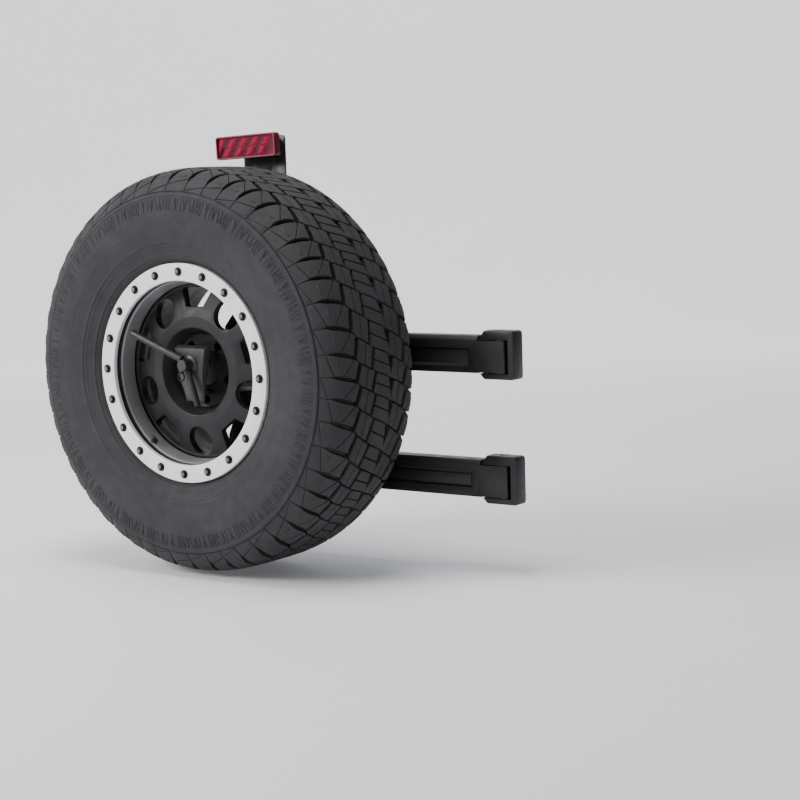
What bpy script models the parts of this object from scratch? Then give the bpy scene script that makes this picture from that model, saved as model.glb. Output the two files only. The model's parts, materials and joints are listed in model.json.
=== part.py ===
"""Swing-away spare tire carrier with its beadlock spare wheel, ready to bolt to a tailgate opening.

Two C-shaped body brackets hold two cast hinge arms. The arms carry a plate, a cast tower with a hub pilot
and a threaded stud, and a raised brake lamp. A clamp plate and a nut with two welded rods hold the wheel.

Metres. +X points to the hinge side, +Y into the vehicle and +Z up. The origin is on the lower bracket's
mounting face, straight behind the hinge axis and at the bracket's mid height, so all of it lies at Y <= 0.
Round parts of the wheel are modelled in an "out" frame: x right, y up and z away from the vehicle.
"""

import math

import bmesh
import bpy
from mathutils import Matrix, Vector

OBJECT_NAME = "spare_tire_carrier"
GAP = 0.0003                      # left between pieces that touch

# Hinges
HINGE_SPACING = 0.264             # between the centres of the two hinges
HINGE_DEPTH = 0.038               # from the mounting face to the front face
PIN_Y = -0.022
PIN_R = 0.006
RUNNING_GAP = 0.00003             # flat-to-flat clearance of the bushes on the pins
BUSH_R = 0.008
BRACKET_LEFT, BRACKET_RIGHT = -0.048, 0.039
BRACKET_HALF = 0.0515
EAR_TOP, EAR_BOTTOM = 0.0315, -0.0395
SPINE_LEFT = 0.024
BACK_WALL = 0.004
COUNTERBORE_R = 0.0100
COUNTERBORE_DEPTH = 0.004

# Arms
ARM_TOP, ARM_BOTTOM = 0.040, -0.039
ARM_RIGHT = -0.052                # where the full height ends, clear of the ears as it swings
KNUCKLE_END = 0.016
KNUCKLE_TOP, KNUCKLE_BOTTOM = 0.0295, -0.0375
ARM_CHAMFER = (0.0085, 0.005)     # height and depth of the long top chamfer
ARM_WALL = 0.009                  # of the front; the top and bottom walls are a third thinner
RECESS_X = (-0.400, -0.0735)
RECESS_Z = (-0.0193, 0.0133)
RECESS_DEPTH = 0.005
GATE_PAD_X = -0.230

# Wheel, in the out frame: z = 0 is the wheel's mounting face
WHEEL_X, WHEEL_Z = -0.601, 0.2375
MOUNT_FACE_Y = -0.258
HUB_FACE = 0.018
RING_FRONT = 0.096
RING_THICKNESS = 0.010
RING_R, RING_BORE_R = 0.236, 0.1985
RING_BOLTS = 20
RING_BOLT_CIRCLE = 0.2178
RING_HOLE_R = 0.0047              # corner radius of the eight-sided clearance holes
TIRE_R = 0.438
TIRE_CENTRE = -0.0375
TIRE_HALF_WIDTH = 0.159
RIM_WIDTH = 0.2286
BEAD_SEAT_R = 0.2150
HUB_BORE_R = 0.0358
BOWL_R = 0.095
DISC_FACE = 0.0525
LUG_CIRCLE_R = 0.0635
ROUND_HOLE_R, ROUND_HOLE_CIRCLE = 0.0325, 0.152
WINDOW_INNER, WINDOW_OUTER = 0.139, 0.181
VALVE_ANGLE = math.radians(-127)
WHEEL_STEPS = 44                  # facets round the tire, rim and ring, which share seats

# Carrier plate and tower
PLATE_HALF_WIDTH = 0.142
PLATE_Z = (-0.045, 0.318)
PLATE_THICKNESS = 0.008
ARM_BOLT_OFFSET = 0.118
TOWER_FLANGE_R = 0.092
TOWER_BOLT_CIRCLE = 0.0765
PILOT_R = 0.0345
STUD_UP = 0.0165                  # height of the clamp stud above the wheel axis
STUD_R = 0.008
STUD_TIP = 0.084

# Clamp plate and nut handle
PAN_FRONT, PAN_BACK = 0.067, 0.051
PAN_FOOT_BACK = 0.0535            # the sides narrow towards the foot
NUT_SEAT = PAN_FRONT + GAP
NUT_TIP = 0.095
NUT_R = 0.0128
NUT_END = 0.0935                  # the inner face of its closed end
# Each rod: radius, height in front of the wheel's mounting face, angle, length and offset from the nut's axis.
RODS = {"long_rod": (0.0076, 0.0795, 158.97, 0.1672, -0.0064),
        "short_rod": (0.0068, 0.0778, -73.0, 0.0915, 0.0)}
LOCK_PIN_OUT = 0.0895
LOCK_PIN_ANGLE = -105             # the way it pulls out, in degrees
LOCK_PIN_R = 0.0025

# Brake lamp
LAMP_CENTRE = (-0.6115, -0.104, 0.719)
LAMP_SIZE = (0.1705, 0.0515)
LAMP_TILT = math.radians(1.9)
LAMP_DEPTH = 0.020
LAMP_WALL = 0.0035
LAMP_FOOT = (0.110, 0.036)        # the housing that carries the frame is narrower than it
BRACKET_SHEET = 0.003
STALK_HALF = 0.060

PLATE_BACK_Y = -HINGE_DEPTH - GAP
PLATE_FRONT_Y = PLATE_BACK_Y - PLATE_THICKNESS
SHEET_FRONT_Y = PLATE_FRONT_Y - GAP - BRACKET_SHEET
FACING_OUT = Matrix.Rotation(math.pi / 2, 4, "X")

MATERIALS = {
    "black_casting": ((0.020, 0.020, 0.022), 0.45, 0.6),
    "black_steel": ((0.018, 0.018, 0.020), 0.40, 0.7),
    "zinc_steel": ((0.55, 0.55, 0.56), 0.35, 1.0),
    "bush_polymer": ((0.60, 0.60, 0.58), 0.45, 0.0),
    "tire_rubber": ((0.030, 0.030, 0.032), 0.85, 0.0),
    "wheel_black": ((0.025, 0.025, 0.028), 0.40, 0.5),
    "machined_ring": ((0.90, 0.90, 0.91), 0.30, 1.0),
    "bolt_dark": ((0.10, 0.10, 0.11), 0.40, 1.0),
    "dark_rubber": ((0.015, 0.015, 0.015), 0.70, 0.0),
    "clamp_grey": ((0.09, 0.09, 0.10), 0.45, 0.8),
    "lamp_black": ((0.020, 0.020, 0.020), 0.50, 0.0),
    "lamp_frame_red": ((0.55, 0.12, 0.15), 0.35, 0.0),
    "lamp_lens_red": ((0.45, 0.01, 0.03), 0.15, 0.0),
}


def remove_all():
    for obj in list(bpy.data.objects):
        bpy.data.objects.remove(obj)


def collection(name):
    made = bpy.data.collections.new(name)
    bpy.context.scene.collection.children.link(made)
    return made


def material(name):
    found = bpy.data.materials.get(name)
    if found:
        return found
    colour, roughness, metallic = MATERIALS[name]
    made = bpy.data.materials.new(name)
    made.use_nodes = True
    shader = made.node_tree.nodes["Principled BSDF"]
    shader.inputs["Base Color"].default_value = (*colour, 1.0)
    shader.inputs["Roughness"].default_value = roughness
    shader.inputs["Metallic"].default_value = metallic
    return made


def out_matrix(x, y, z, turn=0.0):
    """The out frame at a point of the row frame, turned about its own z."""
    return Matrix.Translation((x, y, z)) @ FACING_OUT @ Matrix.Rotation(turn, 4, "Z")


def empty(name, matrix, parent=None):
    made = bpy.data.objects.new(name, None)
    PARTS.objects.link(made)
    made.matrix_world = matrix
    attach(made, parent)
    return made


def attach(obj, parent):
    """Parents obj and keeps its place."""
    if parent is None:
        return
    bpy.context.view_layer.update()
    obj.parent = parent
    obj.matrix_parent_inverse = parent.matrix_world.inverted()


def add(name, mesh, finish, parent, matrix=None, smooth=True):
    """A part: its mesh in its own frame, placed by matrix and parented."""
    obj = bpy.data.objects.new(name, mesh)
    PARTS.objects.link(obj)
    if matrix is not None:
        obj.matrix_world = matrix
    attach(obj, parent)
    if not mesh.materials:
        mesh.materials.append(material(finish))
    if smooth:
        mesh.shade_smooth()
        mesh.set_sharp_from_angle(angle=math.radians(35))
    return obj


def helper(name, mesh, matrix=None):
    """A cutter or a piece to be joined on: never rendered."""
    obj = bpy.data.objects.new(name, mesh)
    HELPERS.objects.link(obj)
    obj.hide_render = True
    obj.display_type = "WIRE"
    if matrix is not None:
        obj.matrix_world = matrix
    return obj


def boolean(obj, other, operation):
    modifier = obj.modifiers.new(operation.lower(), "BOOLEAN")
    modifier.operation = operation
    modifier.object = other
    modifier.solver = "EXACT"


def cut(obj, mesh, matrix=None):
    boolean(obj, helper(obj.name + "_cutter", mesh, matrix), "DIFFERENCE")


def join(obj, mesh, matrix=None):
    boolean(obj, helper(obj.name + "_joined", mesh, matrix), "UNION")


def bevel(obj, width, segments=1):
    modifier = obj.modifiers.new("edges", "BEVEL")
    modifier.width = width
    modifier.segments = segments
    modifier.limit_method = "ANGLE"
    modifier.angle_limit = math.radians(40)


def realised(obj):
    """The evaluated mesh of obj, for copies to share. The object itself is removed."""
    graph = bpy.context.evaluated_depsgraph_get()
    mesh = bpy.data.meshes.new_from_object(obj.evaluated_get(graph))
    bpy.data.objects.remove(obj)
    return mesh


def mesh_of(build):
    """A mesh filled by build(bm)."""
    bm = bmesh.new()
    build(bm)
    mesh = bpy.data.meshes.new("shape")
    bm.to_mesh(mesh)
    bm.free()
    return mesh


def add_box(bm, low, high):
    low, high = Vector(low), Vector(high)
    made = bmesh.ops.create_cube(bm, size=1.0)["verts"]
    bmesh.ops.scale(bm, vec=high - low, verts=made)
    bmesh.ops.translate(bm, vec=(low + high) / 2, verts=made)


def add_cone(bm, start, end, start_r, end_r, segments=24):
    start, end = Vector(start), Vector(end)
    along = end - start
    place = Matrix.Translation((start + end) / 2) @ along.to_track_quat("Z", "X").to_matrix().to_4x4()
    bmesh.ops.create_cone(
        bm, cap_ends=True, segments=segments, radius1=start_r, radius2=end_r,
        depth=along.length, matrix=place,
    )


def boxes(*corners):
    def build(bm):
        for low, high in corners:
            add_box(bm, low, high)
    return mesh_of(build)


def cylinders(*rods, segments=24):
    """Each rod is (start, end, radius)."""
    def build(bm):
        for start, end, radius in rods:
            add_cone(bm, start, end, radius, radius, segments)
    return mesh_of(build)


def turned(name, profile, finish, parent, matrix, steps=28, closed=True):
    """A solid turned about local Z from (radius, z) points, listed down the outer side first."""
    mesh = bpy.data.meshes.new(name)
    edges = [(i, i + 1) for i in range(len(profile) - 1)]
    if closed:
        edges.append((len(profile) - 1, 0))
    mesh.from_pydata([(r, 0.0, z) for r, z in profile], edges, [])
    obj = add(name, mesh, finish, parent, matrix, smooth=False)
    screw = obj.modifiers.new("turn", "SCREW")
    screw.steps = steps
    screw.render_steps = steps
    screw.use_merge_vertices = True
    screw.merge_threshold = 0.00001
    screw.use_smooth_shade = True
    return obj


def rounded(corners, steps=3):
    """A closed outline from (x, y, radius) corners, each rounded by an arc."""
    outline = []
    for i, (x, y, radius) in enumerate(corners):
        here = Vector((x, y))
        if radius == 0:
            outline.append(here)
            continue
        before = (Vector(corners[i - 1][:2]) - here).normalized()
        after = (Vector(corners[(i + 1) % len(corners)][:2]) - here).normalized()
        half = before.angle(after) / 2
        centre = here + (before + after).normalized() * radius / math.sin(half)
        first = here + before * radius / math.tan(half) - centre
        last = here + after * radius / math.tan(half) - centre
        sweep = first.angle_signed(last)
        for step in range(steps + 1):
            angle = -sweep * step / steps
            outline.append(centre + Matrix.Rotation(angle, 2) @ first)
    return outline


def circle(radius, centre=(0.0, 0.0), count=24):
    angles = [2 * math.pi * i / count for i in range(count)]
    return [Vector((centre[0] + radius * math.cos(a), centre[1] + radius * math.sin(a))) for a in angles]


def prism(outlines, low, high):
    """A flat outline, with any holes, extruded from z = low to z = high."""
    curve = bpy.data.curves.new("outline", "CURVE")
    curve.dimensions = "2D"
    curve.fill_mode = "BOTH"
    curve.extrude = (high - low) / 2
    for outline in outlines:
        spline = curve.splines.new("POLY")
        spline.points.add(len(outline) - 1)
        spline.use_cyclic_u = True
        for point, place in zip(spline.points, outline):
            point.co = (place[0], place[1], 0.0, 1.0)
    drawn = bpy.data.objects.new("outline", curve)
    HELPERS.objects.link(drawn)
    graph = bpy.context.evaluated_depsgraph_get()
    mesh = bpy.data.meshes.new_from_object(drawn.evaluated_get(graph))
    bpy.data.objects.remove(drawn)
    bm = bmesh.new()
    bm.from_mesh(mesh)
    bmesh.ops.remove_doubles(bm, verts=bm.verts, dist=0.000001)
    bmesh.ops.dissolve_limit(bm, angle_limit=math.radians(1), verts=bm.verts, edges=bm.edges)
    bmesh.ops.recalc_face_normals(bm, faces=bm.faces)
    bmesh.ops.translate(bm, vec=(0, 0, (low + high) / 2), verts=bm.verts)
    bm.to_mesh(mesh)
    bm.free()
    return mesh


def polar(radius, degrees, z=0.0):
    return Vector((radius * math.cos(math.radians(degrees)), radius * math.sin(math.radians(degrees)), z))


# ---- vehicle side: brackets, hinge pins and their clips

def body_bracket(name, height):
    """A C-shaped bracket: spine, two chamfered ears and a thin back wall, cut from one bevelled block."""
    outline = rounded([
        (BRACKET_LEFT, EAR_TOP, 0), (-0.0355, BRACKET_HALF, 0.004),
        (BRACKET_RIGHT, BRACKET_HALF, 0.007), (BRACKET_RIGHT, -BRACKET_HALF, 0.007),
        (-0.037, -BRACKET_HALF, 0.005), (BRACKET_LEFT, EAR_BOTTOM, 0),
    ])
    place = out_matrix(0, 0, height)
    bracket = add(name, prism([outline], 0.0, HINGE_DEPTH), "black_casting", None, place, smooth=False)
    bevel(bracket, 0.0035, 2)
    cut(bracket, boxes(((-0.06, EAR_BOTTOM, BACK_WALL), (SPINE_LEFT, EAR_TOP, 0.05))), place)
    half = BRACKET_HALF
    cut(bracket, cylinders(((0, -0.06, -PIN_Y), (0, 0.06, -PIN_Y), PIN_R + GAP), segments=20), place)
    cut(bracket, cylinders(
        ((0, half - COUNTERBORE_DEPTH, -PIN_Y), (0, half + 0.01, -PIN_Y), COUNTERBORE_R),
        ((0, -half - 0.01, -PIN_Y), (0, COUNTERBORE_DEPTH + 0.001 - half, -PIN_Y), COUNTERBORE_R),
        segments=24,
    ), place)
    cut(bracket, cylinders(
        ((-0.030, 0.020, -0.01), (-0.030, 0.020, 0.01), 0.0045),
        ((-0.030, -0.026, -0.01), (-0.030, -0.026, 0.01), 0.0045),
        segments=12,
    ), place)
    return bracket


def hinge_pin(name, height):
    """A headed pin, grooved near its lower end for the clip."""
    head, groove = BRACKET_HALF - COUNTERBORE_DEPTH + GAP, -0.0478
    profile = [
        (0.0, head + 0.003), (0.0088, head + 0.003), (0.0096, head + 0.0022), (0.0096, head),
        (PIN_R, head), (PIN_R, groove), (0.0048, groove), (0.0048, groove - 0.0012),
        (PIN_R, groove - 0.0012), (PIN_R, -0.0502), (0.0052, -0.0510), (0.0, -0.0510),
    ]
    place = Matrix.Translation((0, PIN_Y, height))
    return turned(name, profile, "bolt_dark", None, place, steps=16, closed=False)


def pin_clip(name, height):
    """An open ring that sits in the pin's groove."""
    opening = math.radians(35)
    count = 20
    sweep = 2 * math.pi - 2 * opening
    angles = [opening + sweep * i / count for i in range(count + 1)]
    outline = [Vector((0.0092 * math.cos(a), 0.0092 * math.sin(a))) for a in angles]
    outline += [Vector((0.0051 * math.cos(a), 0.0051 * math.sin(a))) for a in reversed(angles)]
    place = Matrix.Translation((0, PIN_Y, height))
    return add(name, prism([outline], -0.0488, -0.0480), "bolt_dark", None, place)


# ---- carrier: arms, bushes, plate, tower and stud

def hinge_arm(name, height, parent):
    """A cast channel, open at the back, that ends in the hinge knuckle."""
    rise, depth = ARM_CHAMFER
    left = WHEEL_X - PLATE_HALF_WIDTH
    front = HINGE_DEPTH
    # The cross-section, drawn as (distance in front of the mounting face, height).
    section = rounded([
        (0.0, ARM_BOTTOM, 0), (0.0, ARM_TOP, 0), (front - depth, ARM_TOP, 0.001),
        (front, ARM_TOP - rise, 0.001), (front, ARM_BOTTOM, 0.002),
    ], steps=2)
    along = Matrix(((0, 0, 1, 0), (-1, 0, 0, 0), (0, 1, 0, height), (0, 0, 0, 1)))
    arm = add(name, prism([section], left, ARM_RIGHT), "black_casting", parent, along, smooth=False)
    knuckle = rounded([
        (ARM_RIGHT - 0.010, -front, 0), (KNUCKLE_END, -front, 0.0035),
        (KNUCKLE_END, -0.006, 0.0135), (ARM_RIGHT - 0.010, -0.006, 0),
    ], steps=6)
    stack = Matrix.Translation((0, 0, height))
    join(arm, prism([knuckle], KNUCKLE_BOTTOM, KNUCKLE_TOP), stack)
    recess = rounded([
        (RECESS_X[0], RECESS_Z[0], 0.003), (RECESS_X[1], RECESS_Z[0], 0.003),
        (RECESS_X[1], RECESS_Z[1], 0.003), (RECESS_X[0], RECESS_Z[1], 0.003),
    ])
    facing = out_matrix(0, 0, height)
    side_wall = ARM_WALL * 2 / 3
    cut(arm, prism([recess], front - RECESS_DEPTH, front + 0.005), facing)
    cut(arm, boxes(*[
        ((x0, ARM_BOTTOM + side_wall, -0.01), (x1, ARM_TOP - side_wall - 0.003, front - ARM_WALL))
        for x0, x1 in arm_pockets(left)
    ]), facing)
    bolts = [
        ((WHEEL_X + side * ARM_BOLT_OFFSET, 0, 0.018), (WHEEL_X + side * ARM_BOLT_OFFSET, 0, 0.05), 0.0053)
        for side in (-1, 1)
    ]
    cut(arm, cylinders(*bolts), facing)
    cut(arm, cylinders(((0, PIN_Y, -0.06), (0, PIN_Y, 0.06), BUSH_R + GAP), segments=24), stack)
    return arm


def arm_pockets(left):
    """The X spans of the hollows between the arm's ribs and its solid pads."""
    rib = 0.004
    pad = 0.022
    bolt_left, bolt_right = WHEEL_X - ARM_BOLT_OFFSET, WHEEL_X + ARM_BOLT_OFFSET
    spans = [(bolt_left + pad, bolt_right - pad), (bolt_right + pad, GATE_PAD_X - pad),
             (GATE_PAD_X + pad, ARM_RIGHT - 0.018)]
    pockets = []
    for x0, x1 in spans:
        middle = (x0 + x1) / 2
        pockets += [(x0, middle - rib / 2), (middle + rib / 2, x1)]
    return pockets


def hinge_bush(name, height, side, parent):
    """A flanged bush. side is 1 for the upper end of the knuckle and -1 for the lower."""
    steps = 16
    bore = (PIN_R + RUNNING_GAP) / math.cos(math.pi / steps)
    face = KNUCKLE_TOP if side > 0 else -KNUCKLE_BOTTOM
    flange = (face + GAP, face + GAP + 0.0012)
    profile = [
        (0.0115, flange[1]), (0.0115, flange[0]), (BUSH_R, flange[0]), (BUSH_R, face - 0.018),
        (bore, face - 0.018), (bore, flange[1]),
    ]
    place = Matrix.Translation((0, PIN_Y, height))
    if side < 0:
        place = place @ Matrix.Rotation(math.pi, 4, "X")
    return turned(name, profile, "bush_polymer", parent, place, steps=steps)


def carrier_plate(parent):
    """The flat plate that ties the two arms together, with one lightening window."""
    low, high = PLATE_Z
    half = PLATE_HALF_WIDTH
    outer = rounded([
        (-half, low, 0.018), (half, low, 0.018), (half, 0.060, 0.020), (half - 0.018, 0.100, 0.020),
        (half - 0.018, 0.180, 0.020), (half, 0.220, 0.020), (half, high, 0.018), (-half, high, 0.018),
        (-half, 0.220, 0.020), (0.018 - half, 0.180, 0.020), (0.018 - half, 0.100, 0.020),
        (-half, 0.060, 0.020),
    ])
    window = rounded([(-0.072, 0.052, 0.012), (0.072, 0.052, 0.012), (0.058, 0.122, 0.012),
                      (-0.058, 0.122, 0.012)])
    holes = [circle(0.0056, (side * ARM_BOLT_OFFSET, z), 10) for side in (-1, 1) for z in (0, HINGE_SPACING)]
    holes += [circle(0.0046, (x, WHEEL_Z + z), 10) for x, z, _ in tower_bolt_places()]
    place = out_matrix(WHEEL_X, PLATE_BACK_Y, 0)
    mesh = prism([outer, window, *holes], 0.0, PLATE_THICKNESS)
    return add("carrier_plate", mesh, "black_steel", parent, place, smooth=False)


def tower_bolt_places():
    return [polar(TOWER_BOLT_CIRCLE, 45 + 90 * i) for i in range(4)]


def wheel_tower(parent, wheel_frame):
    """The cast tower: base flange, tapered hollow body with four ribs, wheel face and hub pilot."""
    base = -MOUNT_FACE_Y + PLATE_FRONT_Y
    back = -base + GAP
    profile = [
        (0.0, 0.0137), (PILOT_R - 0.002, 0.0137), (PILOT_R, 0.0117), (PILOT_R, -GAP), (0.076, -GAP),
        (0.076, -0.012), (0.053, -0.030), (0.066, back + 0.010), (TOWER_FLANGE_R, back + 0.010),
        (TOWER_FLANGE_R, back), (0.058, back), (0.045, -0.034), (0.040, -0.020), (0.0, -0.020),
    ]
    tower = turned("wheel_tower", profile, "black_casting", parent, wheel_frame, closed=False)
    for turn in range(4):
        rib = prism([[Vector((0.050, back + 0.004)), Vector((0.086, back + 0.004)), Vector((0.066, -0.120)),
                      Vector((0.050, -0.120))]], -0.004, 0.004)
        upright = Matrix.Rotation(math.pi / 2 * turn, 4, "Z") @ FACING_OUT
        join(tower, rib, wheel_frame @ upright)
    cut(tower, cylinders(((0, STUD_UP, -0.05), (0, STUD_UP, 0.05), STUD_R + GAP)), wheel_frame)
    bolts = [((x, y, back - 0.01), (x, y, back + 0.02), 0.0043) for x, y, _ in tower_bolt_places()]
    cut(tower, cylinders(*bolts, segments=10), wheel_frame)
    return tower


def wheel_stud(parent, wheel_frame):
    profile = [
        (0.0, STUD_TIP), (STUD_R - 0.0015, STUD_TIP), (STUD_R, STUD_TIP - 0.002), (STUD_R, -0.0203),
        (0.014, -0.0203), (0.014, -0.0320), (0.0, -0.0320),
    ]
    place = wheel_frame @ Matrix.Translation((0, STUD_UP, 0))
    return turned("wheel_stud", profile, "zinc_steel", parent, place, steps=16, closed=False)


def bolt_mesh(head_r, head_height, shank_r, shank_length, socket_r):
    """A button-headed bolt with a hex socket. Local z = 0 is the seat, and +z is out of the head."""
    profile = [(0.0, head_height), (head_r * 0.8, head_height), (head_r, head_height * 0.6), (head_r, 0.0)]
    profile += [(shank_r, 0.0), (shank_r, -shank_length), (0.0, -shank_length)]
    pattern = turned("bolt_pattern", profile, "zinc_steel", None, Matrix(), steps=8, closed=False)
    pattern.data.materials.clear()
    cut(pattern, cylinders(((0, 0, head_height * 0.4), (0, 0, head_height * 2), socket_r), segments=6))
    return realised(pattern)


def plate_bolts(parent, wheel_frame):
    """Four bolts through the plate into the arms, and four through the tower's flange into the plate."""
    arm_bolt = bolt_mesh(0.0110, 0.0065, 0.005, 0.026, 0.0046)
    number = 0
    for height, seat in ((0.0, PLATE_FRONT_Y), (HINGE_SPACING, SHEET_FRONT_Y)):
        for side in (-1, 1):
            number += 1
            place = out_matrix(WHEEL_X + side * ARM_BOLT_OFFSET, seat - GAP, height)
            add(f"arm_bolt_{number}", arm_bolt, "zinc_steel", parent, place)
    seat = PLATE_FRONT_Y - GAP - 0.010
    tower_bolt = bolt_mesh(0.0075, 0.005, 0.004, 0.016, 0.0036)
    for number, (x, z, _) in enumerate(tower_bolt_places(), start=1):
        place = out_matrix(WHEEL_X + x, seat - GAP, WHEEL_Z + z)
        add(f"tower_bolt_{number}", tower_bolt, "zinc_steel", parent, place)


# ---- brake lamp

def lamp_bracket(parent):
    """A sheet fork that straddles the tower, under the upper arm bolts, and rises behind the tire."""
    rise = WHEEL_Z
    reach = 0.097
    foot = 0.245 - rise
    start = math.asin(foot / reach)
    count = 12
    arch = [start + (math.pi - 2 * start) * i / count for i in range(count + 1)]
    side = ARM_BOLT_OFFSET + 0.020
    shoulder = rounded([
        (-side, foot, 0.006), (-side, 0.075, 0.010), (-STALK_HALF, 0.165, 0.020), (-STALK_HALF, 0.505, 0.008),
        (STALK_HALF, 0.505, 0.008), (STALK_HALF, 0.165, 0.020), (side, 0.075, 0.010), (side, foot, 0.006),
    ])
    outline = shoulder + [Vector((reach * math.cos(a), reach * math.sin(a))) for a in arch]
    holes = [circle(0.0056, (s * ARM_BOLT_OFFSET, HINGE_SPACING - rise), 10) for s in (-1, 1)]
    holes.append(circle(0.0073, (0.0, 0.400), 16))
    place = out_matrix(WHEEL_X, PLATE_FRONT_Y - GAP, rise)
    mesh = prism([outline, *holes], 0.0, BRACKET_SHEET)
    return add("lamp_bracket", mesh, "black_steel", parent, place, smooth=False)


def rectangle(width, height, radius):
    x, y = width / 2, height / 2
    return rounded([(-x, -y, radius), (x, -y, radius), (x, y, radius), (-x, y, radius)])


def brake_lamp(parent):
    """Housing against the bracket, frame in front of it, and the lens set into the frame."""
    place = out_matrix(*LAMP_CENTRE, LAMP_TILT)
    width, height = LAMP_SIZE
    back = -(SHEET_FRONT_Y - LAMP_CENTRE[1]) + GAP
    housing = prism([rectangle(*LAMP_FOOT, 0.004)], back, -LAMP_DEPTH - GAP)
    bevel(add("lamp_housing", housing, "lamp_black", parent, place, smooth=False), 0.0015)
    inner = (width - 2 * LAMP_WALL, height - 2 * LAMP_WALL)
    frame = prism([rectangle(width, height, 0.006), rectangle(*inner, 0.004)], -LAMP_DEPTH, 0.0)
    bevel(add("lamp_frame", frame, "lamp_frame_red", parent, place, smooth=False), 0.0008)
    lens = prism([rectangle(inner[0] - 2 * GAP, inner[1] - 2 * GAP, 0.0037)], -LAMP_DEPTH, -0.0012)
    bevel(add("lamp_lens", lens, "lamp_lens_red", parent, place, smooth=False), 0.0008)


def lamp_grommet(parent):
    """A rubber grommet in the bracket's cable hole."""
    sheet = BRACKET_SHEET
    profile = [
        (0.0100, sheet + 0.0018), (0.0100, sheet + GAP), (0.0068, sheet + GAP), (0.0068, -GAP),
        (0.0085, -GAP), (0.0085, -0.0018), (0.0040, -0.0018), (0.0040, sheet + 0.0018),
    ]
    place = out_matrix(WHEEL_X, PLATE_FRONT_Y - GAP, WHEEL_Z + 0.400)
    return turned("lamp_grommet", profile, "dark_rubber", parent, place, steps=16)


# ---- spare wheel

def tire(parent, wheel_frame):
    """The tire as a turned shell that is open between its beads."""
    half = [
        (TIRE_R, 0.0), (0.4368, 0.075), (0.4300, 0.107), (0.4160, 0.131), (0.3900, 0.150),
        (0.3400, TIRE_HALF_WIDTH), (0.2900, 0.1520), (0.2550, 0.1385), (0.2372, 0.1232),
    ]
    bead = RIM_WIDTH / 2 - GAP
    foot = [(0.2345, 0.1232), (0.2345, bead), (BEAD_SEAT_R + GAP, bead), (BEAD_SEAT_R + GAP, 0.098)]
    inner = [(0.2350, 0.0960), (0.2650, 0.1290), (0.3400, 0.1470), (0.4160, 0.0900)]
    side = half + foot + inner
    front = [(r, TIRE_CENTRE + s) for r, s in side]
    rear = [(r, TIRE_CENTRE - s) for r, s in side]
    # Down the outer side from the front shoulder to the rear one, round the rear bead, and back inside.
    outer_count = len(half) + len(foot)
    profile = list(reversed(front[:outer_count])) + rear[1:outer_count]
    profile += rear[outer_count:] + list(reversed(front[outer_count:]))
    return turned("spare_tire", profile, "tire_rubber", parent, wheel_frame, steps=WHEEL_STEPS)


def wheel_rim(parent, wheel_frame):
    """Barrel and disc in one casting: bowl, lug holes, five round holes and five windows."""
    flange_back = TIRE_CENTRE + RIM_WIDTH / 2
    rear = TIRE_CENTRE - RIM_WIDTH / 2
    flange_front = RING_FRONT - RING_THICKNESS - GAP
    seat = BEAD_SEAT_R
    profile = [
        (0.2255, flange_front), (0.2255, flange_back), (seat, flange_back), (seat, 0.048), (0.204, 0.036),
        (0.204, -0.010), (seat, -0.110), (seat, rear), (0.2335, rear), (0.2335, rear - 0.008),
        (0.2085, rear), (0.2085, -0.105), (0.1975, -0.010), (0.1870, 0.014),
        (0.118, 0.0385), (0.101, 0.0385), (0.0945, 0.006), (0.085, 0.0), (HUB_BORE_R, 0.0),
        (HUB_BORE_R, HUB_FACE), (0.080, HUB_FACE), (BOWL_R, DISC_FACE), (0.118, DISC_FACE),
        (0.184, 0.034), (0.1965, 0.033), (0.1965, 0.039), (0.1895, 0.042), (0.1955, 0.072),
        (0.1995, 0.076), (0.1995, flange_front),
    ]
    rim = turned("wheel_rim", profile, "wheel_black", parent, wheel_frame, steps=WHEEL_STEPS)
    rounds = [(polar(ROUND_HOLE_CIRCLE, 72 * i - 90, -0.05), polar(ROUND_HOLE_CIRCLE, 72 * i - 90, 0.1),
               ROUND_HOLE_R) for i in range(5)]
    cut(rim, cylinders(*rounds, segments=20), wheel_frame)
    window = rounded([(WINDOW_INNER, -0.024, 0.006), (WINDOW_OUTER, -0.046, 0.006),
                      (WINDOW_OUTER, 0.046, 0.006), (WINDOW_INNER, 0.024, 0.006)])
    for i in range(5):
        turn = Matrix.Rotation(math.radians(72 * i + 90), 4, "Z")
        cut(rim, prism([window], -0.05, 0.1), wheel_frame @ turn)
    cut(rim, mesh_of(add_lug_holes), wheel_frame)
    bolts = [(place - Vector((0, 0, 0.03)), place + Vector((0, 0, 0.01)), RING_HOLE_R)
             for place in ring_bolt_places()]
    cut(rim, cylinders(*bolts, segments=8), wheel_frame)
    start, along = valve_axis()
    cut(rim, cylinders((start - along * 0.03, start + along * 0.02, 0.0065), segments=10), wheel_frame)
    return rim


def add_lug_holes(bm):
    """Five tapered lug holes."""
    for i in range(5):
        low = polar(LUG_CIRCLE_R, 72 * i - 90, -0.01)
        high = polar(LUG_CIRCLE_R, 72 * i - 90, 0.02)
        add_cone(bm, low, high, 0.0065, 0.0105, 10)


def ring_bolt_places():
    return [polar(RING_BOLT_CIRCLE, 89 + 360 / RING_BOLTS * i, RING_FRONT) for i in range(RING_BOLTS)]


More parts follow.
